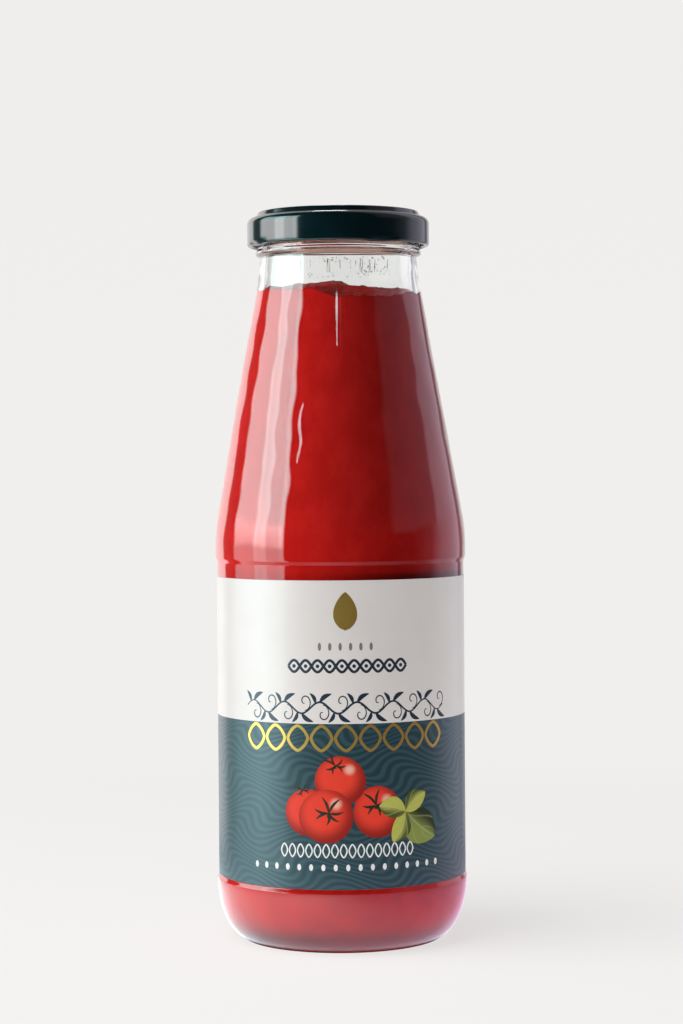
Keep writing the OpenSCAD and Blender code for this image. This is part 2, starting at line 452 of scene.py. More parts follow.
@dataclass(frozen=True)
class PrintInk(Finish):
    """Offset ink on the label: a flat colour with a faint mottle."""

    colour: str = "#1B2C3C"
    name: str = "offset_ink"
    roughness: float = 0.42

    def shade(self, tree: Tree) -> Socket:
        """One colour, a little uneven where the paper takes it up."""
        uneven = between(tree, grain(tree, 0.8, Detail=2.0), 0.3, 0.7)
        red, green, blue, _ = linear(self.colour)
        lighter = (red * 1.15 + 0.004, green * 1.15 + 0.004, blue * 1.15 + 0.004, 1.0)
        return add(tree, "ShaderNodeBsdfPrincipled", {
            "Base Color": blend(tree, uneven, linear(self.colour), lighter), "Roughness": self.roughness,
        }).outputs[0]


@dataclass(frozen=True)
class GoldFoil(Finish):
    """Hot-stamped gold foil: brown where it mirrors the dark, yellow where it mirrors a lamp."""

    name: str = "hot_stamped_gold_foil"
    colour: str = "#C8A452"

    def shade(self, tree: Tree) -> Socket:
        """Metal leaf with the paper's grain pressed into it."""
        fibre = grain(tree, 0.5, Detail=3.0)
        return add(tree, "ShaderNodeBsdfPrincipled", {
            "Base Color": linear(self.colour), "Metallic": 0.75, "Roughness": 0.42,
            "Normal": bump(tree, fibre, 0.006),
        }).outputs[0]


@dataclass(frozen=True)
class TomatoPrint(Finish):
    """Printed tomato: orange-red, darker round its edge and below, with one soft pale gleam."""

    name: str = "printed_tomato"
    body: str = "#F0402A"
    edge: str = "#98190C"
    gleam: str = "#F7CDB6"

    def shade(self, tree: Tree) -> Socket:
        """Shading by the patch's own UV map, whose edge is at a radius of one."""
        uv = add(tree, "ShaderNodeUVMap", uv_map="UVMap").outputs[0]
        far = [
            add(tree, "ShaderNodeVectorMath", {0: uv, 1: spot}, operation="DISTANCE").outputs["Value"]
            for spot in ((-0.12, 0.16, 0.0), (0.36, 0.46, 0.0))
        ]
        colour = blend(tree, between(tree, far[0], 0.5, 1.12), linear(self.body), linear(self.edge))
        shine = calc(tree, "MULTIPLY", calc(tree, "SUBTRACT", 1.0, between(tree, far[1], 0.05, 0.3)), 0.8)
        return add(tree, "ShaderNodeBsdfPrincipled", {
            "Base Color": blend(tree, shine, colour, linear(self.gleam)), "Roughness": 0.5,
            "Specular IOR Level": 0.25,
        }).outputs[0]


@dataclass(frozen=True)
class LeafPrint(Finish):
    """Printed basil leaf: yellow-green with a dark side and pale veins."""

    name: str = "printed_leaf"
    light: str = "#BFC257"
    shade_side: str = "#4C5A26"
    vein: str = "#C9CC86"

    def shade(self, tree: Tree) -> Socket:
        """Shading by the leaf's own UV map: X across and Y from stalk to tip."""
        uv = add(tree, "ShaderNodeSeparateXYZ", {0: add(tree, "ShaderNodeUVMap", uv_map="UVMap")})
        across, along = uv.outputs["X"], uv.outputs["Y"]
        side = between(tree, calc(tree, "ADD", across, calc(tree, "MULTIPLY", along, -0.35)), -0.45, 0.6)
        colour = blend(tree, side, linear(self.light), linear(self.shade_side))
        wide = calc(tree, "ABSOLUTE", across)
        slant = calc(tree, "SUBTRACT", along, calc(tree, "MULTIPLY", wide, 0.6))
        rib = calc(tree, "SINE", calc(tree, "MULTIPLY", slant, 15.0))
        veins = calc(tree, "MULTIPLY", between(tree, rib, 0.8, 1.0), 0.4)
        middle = calc(tree, "SUBTRACT", 1.0, between(tree, wide, 0.03, 0.1))
        lines = calc(tree, "MAXIMUM", veins, calc(tree, "MULTIPLY", middle, 0.7))
        return add(tree, "ShaderNodeBsdfPrincipled", {
            "Base Color": blend(tree, lines, colour, linear(self.vein)), "Roughness": 0.5,
            "Specular IOR Level": 0.25,
        }).outputs[0]


@dataclass(frozen=True)
class Lacquer(Finish):
    """Baked lacquer on tinplate: a deep colour under a hard gloss, with faint orange peel."""

    colour: str = "#06292D"
    name: str = "baked_lacquer"
    roughness: float = 0.12
    peel_mm: float = 2.5

    def shade(self, tree: Tree) -> Socket:
        """A glossy coat whose orange peel just softens the edges of what it mirrors."""
        peel = grain(tree, self.peel_mm, Detail=1.0)
        cloud = between(tree, grain(tree, 9.0, Detail=2.0), 0.3, 0.7)
        red, green, blue, _ = linear(self.colour)
        worn = (red * 1.2 + 0.001, green * 1.2 + 0.001, blue * 1.2 + 0.001, 1.0)
        return add(tree, "ShaderNodeBsdfPrincipled", {
            "Base Color": blend(tree, cloud, linear(self.colour), worn), "Roughness": self.roughness,
            "Normal": bump(tree, peel, 0.01),
        }).outputs[0]


@dataclass(frozen=True)
class SealingCompound(Finish):
    """Foamed PVC sealing compound: cream, matt and faintly pitted."""

    name: str = "sealing_compound"
    colour: str = "#B89C86"

    def shade(self, tree: Tree) -> Socket:
        """A matt cream with fine pits."""
        pits = grain(tree, 0.4, Detail=2.0)
        tone = between(tree, pits, 0.3, 0.7)
        return add(tree, "ShaderNodeBsdfPrincipled", {
            "Base Color": blend(tree, tone, linear(self.colour), linear("#C7AD98")), "Roughness": 0.6,
            "Normal": bump(tree, pits, 0.03),
        }).outputs[0]


@dataclass(frozen=True)
class Water(Finish):
    """Condensed water on the inside of the neck."""

    name: str = "condensed_water"
    ior: float = 1.33

    def shade(self, tree: Tree) -> Socket:
        """Clear drops that let lamps through."""
        drop = add(tree, "ShaderNodeBsdfPrincipled", {
            "Base Color": linear("#FFFFFF"), "Roughness": 0.0, "IOR": self.ior, "Transmission Weight": 1.0,
        })
        path = add(tree, "ShaderNodeLightPath")
        lamp = calc(tree, "MAXIMUM", path.outputs["Is Shadow Ray"], path.outputs["Is Diffuse Ray"])
        clear = add(tree, "ShaderNodeBsdfTransparent")
        return add(tree, "ShaderNodeMixShader", {0: lamp, 1: drop, 2: clear}).outputs[0]


# ---------------------------------------------------------------- the glass


def top_of(node: str) -> float:
    """Height of a CAD node's top, in millimetres."""
    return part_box(node)[1][2] / MM


def reach_of(node: str) -> float:
    """Largest X of a CAD node, in millimetres."""
    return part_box(node)[1][0] / MM


@dataclass
class GlassBottle:
    """The bottle: heel, label panel between two bulges, cone, neck, bead and threaded finish."""

    body_r: float = reach_of("bottle") + 0.1
    height: float = top_of("bottle")
    finish_r: float = reach_of("lid") - 3.1
    label_low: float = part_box("label")[0][2] / MM
    label_high: float = top_of("label")
    panel_depth: float = 0.7
    wall: float = 2.4
    base_t: float = 5.4
    punt_h: float = 5.0
    ring_w: float = 2.4
    heel_h: float = 19.0
    heel_w: float = 10.2
    shoulder_z: float = 126.4
    neck_h: float = 20.0
    cone_round: float = 60.0
    finish_wall: float = 3.2
    floor_rings: int = 10
    bead_depth: float = 9.9
    bead_h: float = 2.4
    bead_out: float = 0.5
    thread_out: float = 1.15
    thread_h: float = 2.4
    thread_depth: float = 5.3
    thread_half: float = math.radians(31)
    thread_slope: float = math.radians(2.2)
    starts: int = 4
    seam_w: float = 0.7
    seam_h: float = 0.62
    flow_turn: float = math.radians(-109.6)
    flow_low: float = 144.0
    flow_high: float = 170.0
    flow_h: float = 0.3
    wave_h: float = 0.09

    def __post_init__(self) -> None:
        """Works out the levels that several methods share."""
        self.heel_r = self.body_r - 0.2
        self.panel_r = self.body_r - self.panel_depth
        self.inner_r = self.panel_r - self.wall
        self.mouth_r = self.finish_r - self.finish_wall
        self.neck_r = self.finish_r + 0.1
        self.cone_top = self.height - self.neck_h
        self.slope = (self.body_r - self.neck_r) / (self.cone_top - self.shoulder_z)
        self.cone_wall = self.wall * math.hypot(1, self.slope)
        self.panel_top = self.label_high + 4.3
        self.heel_start = math.radians(16)
        self.ring_r = self.heel_r - self.heel_w * (1 - math.sin(self.heel_start)) - 1.2
        self.bead_z = self.height - self.bead_depth

    def outside(self) -> list[Point]:
        """The outer profile, from the middle of the underside to the rim's inner edge."""
        ring_in = self.ring_r - self.ring_w
        punt = [(ring_in * s / 12, self.punt_h * (1 - (s / 12) ** 2)) for s in range(12)]
        turn = np.linspace(self.heel_start, math.pi / 2, 28)
        heel = [
            (self.heel_r - self.heel_w * (1 - math.sin(a)), self.heel_h * (1 - math.cos(a))) for a in turn
        ]
        foot = rounded([(ring_in, 0, 0), (self.ring_r, 0, 1.2), (*heel[0], 0)], 6)
        side = rounded([
            (self.heel_r, self.heel_h, 0),
            (self.heel_r, self.label_low - 1.3, 0.5),
            (self.panel_r, self.label_low - 0.3, 0.5),
            (self.panel_r, self.panel_top, 1.0),
            (self.body_r - 0.15, self.panel_top + 1.4, 2.0),
            (self.body_r, self.shoulder_z, self.cone_round),
            (self.neck_r, self.cone_top, self.cone_round),
            (self.finish_r - 1, self.bead_z - self.bead_h / 2, 0.7),
            (self.finish_r + self.bead_out, self.bead_z - 0.5, 0.7),
            (self.finish_r + self.bead_out, self.bead_z + 0.5, 0.7),
            (self.finish_r, self.bead_z + self.bead_h / 2, 0.7),
            (self.finish_r, self.height, 0.9),
            (self.mouth_r, self.height, 1.0),
            (self.mouth_r, self.height - 2, 0),
        ])
        return punt + foot + heel[1:] + side[1:]

    def cavity(self, grow: float = 0.0) -> list[Point]:
        """The inner profile, from the middle of the cavity's floor to just under the rim.

        Args:
            grow: How far to move it out into the glass.

        Returns:
            Points as radius and height.
        """
        heel_w, heel_h = self.heel_w + 0.8, self.heel_h + 1
        flat_r = self.inner_r - heel_w
        shares = [k / self.floor_rings for k in range(self.floor_rings)]
        floor = [(flat_r * k, self.base_t + (self.punt_h - 0.6) * (1 - k * k) - grow) for k in shares]
        turn = np.linspace(0, math.pi / 2, 24)
        high = heel_h - self.base_t + grow
        heel = [(flat_r + (heel_w + grow) * math.sin(a), heel_h - high * math.cos(a)) for a in turn]
        wall = rounded([
            (self.inner_r + grow, heel_h, 0),
            (self.inner_r + grow, self.inner_z(self.inner_r), self.cone_round),
            (self.mouth_r + grow, self.inner_z(self.mouth_r), self.cone_round / 3),
            (self.mouth_r + grow, self.height - 2, 0),
        ])
        return floor + heel + wall[1:]

    def inner_z(self, radius: float) -> float:
        """Height at which the cavity's cone has a radius."""
        return self.shoulder_z + (self.body_r - self.cone_wall - radius) / self.slope

    def relief(self, radius: np.ndarray, height: np.ndarray, turn: np.ndarray) -> np.ndarray:
        """What stands out from the turned shape: threads, mould seams, a wrinkle and slow waves.

        Args:
            radius: Radii of the skin's points.
            height: Their heights.
            turn: Their angles.

        Returns:
            The radial shift of each point, which is zero inside the cavity.
        """
        out = np.zeros_like(radius)
        inner = np.array(self.cavity()[self.floor_rings :])
        skin = radius > np.interp(height, inner[:, 1], inner[:, 0]) + 0.8
        for k in range(self.starts):
            local = angle_from(turn, FRONT + k * math.tau / self.starts)
            middle = self.height - self.thread_depth + radius * np.sin(local) * math.sin(self.thread_slope)
            ends = window(local, -self.thread_half, self.thread_half, 0.12)
            across = window(height - middle, -self.thread_h / 2, self.thread_h / 2, 0.8)
            out += self.thread_out * ends * across
        bare = np.maximum(window(height, self.panel_top + 2, self.bead_z - 4, 8), window(height, 2, 18, 3))
        strong = window(height, self.cone_top - 24, self.cone_top - 0.5, 5) + 0.06
        for seam in (FRONT, -FRONT):
            along = angle_from(turn, seam) * radius
            whole = smooth(height, self.cone_top - 16, self.cone_top - 8)
            broken = whole + (1 - whole) * (0.5 + 0.5 * np.sin(height * 4.1) * np.sin(height * 0.9))
            out += self.seam_h * strong * bare * broken * np.exp(-((along / self.seam_w) ** 2))
        along = angle_from(turn, self.flow_turn) * radius - 0.5 * np.sin(height * 0.5)
        spindle = window(height, self.flow_low, self.flow_high, 11)
        out += self.flow_h * spindle * (0.8 + 0.2 * np.sin(height * 2.3)) * np.exp(-((along / 0.55) ** 2))
        rng = np.random.default_rng(7)
        for lobes, pitch in ((2, 90), (3, 55), (5, 37), (8, 29), (11, 17), (17, 13)):
            phase, drift = rng.uniform(0, math.tau, 2)
            wave = np.sin(lobes * turn + phase) * np.sin(height * math.tau / pitch + drift)
            out += self.wave_h * 4 / (lobes + 2) * bare * wave
        return out * skin

    def build(self) -> Object:
        """Turns the glass with its relief, and dresses it."""
        def step(z: float) -> float:
            """The finish needs the shortest pieces, and the part under the label the longest."""
            if self.label_low + 1 < z < self.label_high - 1:
                return 8.0
            return 0.45 if z > self.bead_z - 3 else 1.3

        path = refined(self.outside(), step)
        inner = refined(self.cavity()[::-1], lambda z: 1.6 if z > self.height - 24 else 6.0)
        profile = np.vstack([path, inner[1:]])
        angles = ring_angles(200, [(-90, 2.1, 0.3), (90, 2.1, 0.5), (-111, 2.6, 0.4)])
        glass = lathe("glass_bottle", profile, angles, self.relief)
        dress(glass, FlintGlass().build())
        return settle(glass, "glass", "bottle")


# ---------------------------------------------------------------- the sauce


@dataclass
class Passata:
    """The sauce: it fills the cavity, reaches just into the wall, and has a lumpy sloping surface."""

    glass: GlassBottle
    level: float = 202.0
    tilt: float = math.radians(7)
    rise_to: float = math.radians(110)
    lump_h: float = 0.7
    sink: float = 0.12
    rows: int = 26

    def surface(self, radius: np.ndarray, turn: np.ndarray) -> np.ndarray:
        """Height of the sauce's surface.

        Args:
            radius: Radii of the points.
            turn: Their angles.

        Returns:
            The height at each point.
        """
        share = radius / self.glass.mouth_r
        lumps = np.cos(3 * turn) + 0.6 * np.sin(5 * turn - 0.44) + 0.4 * np.sin(9 * turn)
        x, y = radius * np.cos(turn), radius * np.sin(turn)
        fine = np.sin(x * 0.9 + 1.3) * np.sin(y * 1.1)
        fine = fine + 0.6 * np.sin(x * 2.1 - y * 1.4) + 0.5 * np.sin(x * 3.3 + y * 2.7)
        rim = 0.5 * np.sin(13 * turn + 1) + 0.4 * np.sin(21 * turn) + 0.3 * np.sin(34 * turn + 2)
        return (
            self.level + radius * np.cos(turn - self.rise_to) * math.tan(self.tilt)
            + self.lump_h * share * lumps + self.lump_h * np.cos(math.pi * share)
            + 0.22 * fine + 0.25 * rim * smooth(share, 0.8, 1.0)
            + 1.4 * np.exp(-((x + 2) ** 2 + (y - 21) ** 2) / 60)
        )

    def build(self) -> Object:
        """Makes the wall side, which lies in the glass, and the free surface, which is wet."""
        turn = np.linspace(0, math.tau, 240, endpoint=False)
        wall = refined(self.glass.cavity(self.sink), lambda z: 4.0)
        wall = wall[wall[:, 1] < self.glass.cone_top - 14]
        low = wall[-1]
        ring = np.array([[r, z] for r, z in wall if r > 1e-6])
        verts = [
            np.stack([r * np.cos(turn), r * np.sin(turn), np.full_like(turn, z)], axis=-1) for r, z in ring
        ]
        path = refined(self.glass.cavity(self.sink), lambda z: 1.0)
        path = path[path[:, 1] >= self.glass.heel_h]
        reach = np.interp(self.level, path[:, 1], path[:, 0])
        edge = self.surface(np.full_like(turn, reach), turn)
        for k in range(1, self.rows + 1):
            z = low[1] + (edge - low[1]) * k / self.rows
            r = np.interp(z, path[:, 1], path[:, 0])
            verts.append(np.stack([r * np.cos(turn), r * np.sin(turn), z], axis=-1))
        wall_rows = len(verts)
        edge_r = np.interp(edge, path[:, 1], path[:, 0])
        shares = np.sin(np.linspace(math.pi / 2, 0, 34, endpoint=False))[1:]
        for share in shares:
            r = edge_r * share
            blend_in = smooth(share, 0.9, 1.0)
            z = self.surface(r, turn) * (1 - blend_in) + edge * blend_in
            verts.append(np.stack([r * np.cos(turn), r * np.sin(turn), z], axis=-1))
        cols, rows = len(turn), len(verts)
        points = np.vstack(verts)
        faces = [
            (i * cols + j, i * cols + (j + 1) % cols, (i + 1) * cols + (j + 1) % cols, (i + 1) * cols + j)
            for i in range(rows - 1) for j in range(cols)
        ]
        top = float(self.surface(np.zeros(1), np.zeros(1))[0])
        points = np.vstack([points, [0, 0, wall[0][1]], [0, 0, top]])
        faces += [(len(points) - 2, (j + 1) % cols, j) for j in range(cols)]
        last = (rows - 1) * cols
        faces += [(len(points) - 1, last + j, last + (j + 1) % cols) for j in range(cols)]
        sauce = mesh_object("passata_fill", points, faces)
        wet = TomatoPulp("wet_sieved_tomato", roughness=0.45, specular=0.15, lump_depth_mm=0.15)
        dress(sauce, TomatoPulp().build(), wet.build())
        heights = np.array([f.center[2] for f in sauce.data.polygons])
        first_top = (wall_rows - 1) * cols
        for face in sauce.data.polygons:
            face.material_index = int(min(face.vertices) >= first_top and heights[face.index] > low[1] * MM)
        return settle(sauce, "passata", "passata")


# ---------------------------------------------------------------- the lid and its seal


@dataclass
class TwistLid:
    """The pressed steel lid: button, panel, stacking ring, rounded shoulder, skirt, curl and lugs."""

    radius: float = reach_of("lid")
    top: float = top_of("lid")
    bottom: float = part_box("lid")[0][2] / MM
    sheet: float = 0.25
    curl_r: float = 0.85
    stack_rise: float = 1.7
    panel_drop: float = 1.0
    button_r: float = 10.5
    button_drop: float = 0.5
    lugs: int = 4
    lug_turn: float = math.radians(27)
    lug_half: float = math.radians(15)
    lug_in: float = 0.7
    lug_drop: float = 0.35

    def face_path(self) -> list[Point]:
        """The lacquered outer face, from the middle of the button to the end of the curl."""
        stack_r = self.radius - 3.4
        panel = self.top - self.panel_drop
        shoulder = self.top - self.stack_rise
        path = rounded([
            (0, panel - self.button_drop, 0),
            (self.button_r - 1.2, panel - self.button_drop, 3.0),
            (self.button_r, panel, 3.0),
            (stack_r - 2.3, panel, 0.5),
            (stack_r - 1.6, self.top, 0.5),
            (stack_r, self.top, 0.5),
            (stack_r + 0.7, shoulder, 0.5),
            (self.radius, shoulder, 2.1),
            (self.radius, self.bottom + self.curl_r, 0),
        ])
        turns = np.linspace(0, math.radians(250), 25)[1:]
        r, z = self.radius - self.curl_r, self.bottom + self.curl_r
        return path + [(r + self.curl_r * math.cos(a), z - self.curl_r * math.sin(a)) for a in turns]

    def skin(self, path: np.ndarray, thickness: float) -> np.ndarray:
        """A path moved to its right by a thickness."""
        ahead = np.gradient(path, axis=0)
        ahead /= np.linalg.norm(ahead, axis=1)[:, None]
        moved = path + thickness * np.stack([ahead[:, 1], -ahead[:, 0]], axis=1)
        moved[:, 0] = np.maximum(moved[:, 0], 0)
        return moved

    def press(self, radius: np.ndarray, height: np.ndarray, turn: np.ndarray) -> np.ndarray:
        """Radial shift where the lugs are pressed in."""
        shift = np.zeros_like(radius)
        low = 1 - smooth(height, self.bottom + 0.4, self.bottom + 2.0)
        for k in range(self.lugs):
            local = np.abs(angle_from(turn, FRONT + self.lug_turn + k * math.tau / self.lugs))
            shift -= self.lug_in * low * (1 - smooth(local, self.lug_half * 0.25, self.lug_half))
        return shift * (radius > self.radius - 3)

    def build(self) -> Object:
        """Turns the sheet with its lugs, lacquered teal outside and gold inside, the inside lightened as
        painted light.
        """
        face = refined(self.face_path(), lambda z: 0.5)
        back = self.skin(face, self.sheet)[::-1]
        profile = np.vstack([face, back])
        profile[-1][0] = 0.0
        spots = [(-90 + math.degrees(self.lug_turn) + 90 * k, 15, 0.75) for k in range(self.lugs)]
        angles = ring_angles(150, spots)
        lid = lathe("twist_lid", profile[::-1], angles, self.press)
        self.lower_lugs(lid)
        # The inner lacquer is painted far lighter than its own tan gold. This is painted light for the
        # inside of the lid, which the lamps barely reach.
        gold = Lacquer("gold_lacquer_painted_lighter", "#F0D2C4", 0.3)
        dress(lid, Lacquer("teal_lacquer", "#041C20").build(), gold.build())
        inner_rows = len(face) - 2
        first_pole = (len(profile) - 2) * len(angles)
        for part in lid.data.polygons:
            inside = max(part.vertices) < inner_rows * len(angles) or first_pole in part.vertices
            part.material_index = int(inside)
        return settle(lid, "lacquered_steel", "lid")

    def lower_lugs(self, lid: Object) -> None:
        """Lets the curl hang a little lower at each lug."""
        mesh = lid.data
        place = np.empty(len(mesh.vertices) * 3)
        mesh.vertices.foreach_get("co", place)
        place = place.reshape(-1, 3)
        turn = np.arctan2(place[:, 1], place[:, 0])
        low = 1 - smooth(place[:, 2] / MM, self.bottom + 1.2, self.bottom + 3.4)
        for k in range(self.lugs):
            local = np.abs(angle_from(turn, FRONT + self.lug_turn + k * math.tau / self.lugs))
            near = 1 - smooth(local, self.lug_half * 0.2, self.lug_half)
            place[:, 2] -= self.lug_drop * MM * low * near
        mesh.vertices.foreach_set("co", place.ravel())
        mesh.update()


@dataclass
class SealRing:
    """The ring of sealing compound between the glass rim and the lid's panel."""

    lid: TwistLid
    rim: float = top_of("bottle")
    inner_r: float = 22.8
    outer_r: float = 26.8

    def build(self) -> Object:
        """Turns the ring: flat on the rim, and filling the lid's stacking ring above it."""
        under = self.lid.skin(refined(self.lid.face_path(), lambda z: 0.5), self.lid.sheet)
        ceiling = [
            tuple(p) for p in under if self.inner_r < p[0] < self.outer_r and p[1] > self.rim + 0.5
        ][::-1]
        base = rounded([
            (self.inner_r, ceiling[-1][1], 0), (self.inner_r, self.rim, 0.3), (self.outer_r, self.rim, 0.4),
            (self.outer_r, ceiling[0][1], 0),
        ], 5)
        ring = lathe("seal_ring", refined(base[1:-1] + ceiling, lambda z: 1.0), ring_angles(160))
        dress(ring, SealingCompound().build())
        return settle(ring, "sealing_compound", "gasket")


# ---------------------------------------------------------------- the label and its print


class Ink(Enum):
    """The inks that the label is printed with, by their colours."""

    NAVY = "#16293B"
    GREY = "#84747A"
    WHITE = "#E9EBEA"
    STALK = "#20240F"


@dataclass
class Patch:
    """A flat piece of print: points on the unrolled label in millimetres, faces, and its own UV map."""

    points: list[Point] = field(default_factory=list)
    faces: list[tuple[int, ...]] = field(default_factory=list)
    uv: list[Point] = field(default_factory=list)

    def put(self, other: "Patch") -> "Patch":
        """Adds another patch beside this one."""
        base = len(self.points)
        self.points += other.points
        self.uv += other.uv
        self.faces += [tuple(base + i for i in face) for face in other.faces]
        return self


def sheet_of(
    rows: Sequence[Sequence[Point]], uv_rows: Sequence[Sequence[Point]], closed: bool = False
) -> Patch:
    """Joins rows of points into quads.

    Args:
        rows: Rows of equally many points, each row to the left of the one before as the points run.
        uv_rows: The UV points that belong to them.
        closed: Whether each row's end joins its start.

    Returns:
        The patch.
    """
    cols = len(rows[0])
    patch = Patch([p for row in rows for p in row], [], [p for row in uv_rows for p in row])
    for i in range(len(rows) - 1):
        for j in range(cols if closed else cols - 1):
            n = (j + 1) % cols
            patch.faces.append((i * cols + j, i * cols + n, (i + 1) * cols + n, (i + 1) * cols + j))
    return patch


def ribbon(path: Sequence[Point], width: float, taper: float = 0.0, closed: bool = False) -> Patch:
    """A line of print along a path.

    Args:
        path: The line's middle.
        width: Its width.
        taper: Share of the width lost at both ends, by a sine.
        closed: Whether the line joins its start.

    Returns:
        The patch.
    """
    p = np.array(path, dtype=float)
    ahead = (np.roll(p, -1, 0) - np.roll(p, 1, 0)) if closed else np.gradient(p, axis=0)
    ahead /= np.linalg.norm(ahead, axis=1)[:, None]
    side = np.stack([-ahead[:, 1], ahead[:, 0]], axis=1)
    t = np.linspace(0, 1, len(p))
    half = width / 2 * (1 - taper + taper * np.sin(math.pi * t))[:, None]
    rows = [(p - side * half).tolist(), (p + side * half).tolist()]
    flat = [[(0.0, 0.0)] * len(p)] * 2
    return sheet_of(rows, flat, closed)


def blob(
    centre: Point, half: Point, outline: Callable[[float], float], count: int = 40, rings: int = 5
) -> Patch:
    """A filled round shape.

    Args:
        centre: Its middle.
        half: Its half-width and half-height.
        outline: Share of the half-sizes at an angle.
        count: Points round it.
        rings: Rings of faces from the middle out.

    Returns:
        The patch, with a UV map in shares of the half-sizes.
    """
    rows, uv_rows = [], []
    for k in range(rings, 0, -1):
        uv = []
        for j in range(count):
            a = math.tau * j / count
            reach = outline(a) * k / rings
            uv.append((reach * math.cos(a), reach * math.sin(a)))
        uv_rows.append(uv)
        rows.append([(centre[0] + half[0] * u, centre[1] + half[1] * v) for u, v in uv])
    patch = sheet_of(rows, uv_rows, True)
    patch.points.append(centre)
    patch.uv.append((0.0, 0.0))
    base = (rings - 1) * count
    patch.faces += [(base + j, base + (j + 1) % count, len(patch.points) - 1) for j in range(count)]
    return patch


def leaf(stalk: Point, tip: Point, width: float, bend: float = 0.0, fullness: float = 0.85) -> Patch:
    """A pointed leaf.

    Args:
        stalk: Where it starts.
        tip: Where it ends.
        width: Its full width.
        bend: How far its middle lies to the left of the straight line.
        fullness: Under one moves the widest part towards the stalk.

    Returns:
        The patch, with UV X across in shares of the half-width and Y from stalk to tip.
    """
    start, end = np.array(stalk, dtype=float), np.array(tip, dtype=float)
    ahead = (end - start) / np.linalg.norm(end - start)
    side = np.array([-ahead[1], ahead[0]])
    rows, uv_rows = [], []
    for v in np.linspace(-1, 1, 9):
        row, uv = [], []
        for t in np.linspace(0, 1, 25):
            half = width / 2 * max(0.02, math.sin(math.pi * t**fullness) ** 0.7)
            p = start + (end - start) * t + side * (bend * math.sin(math.pi * t) + v * half)
            row.append((float(p[0]), float(p[1])))
            uv.append((float(v), float(t)))
        rows.append(row)
        uv_rows.append(uv)
    return sheet_of(rows, uv_rows)


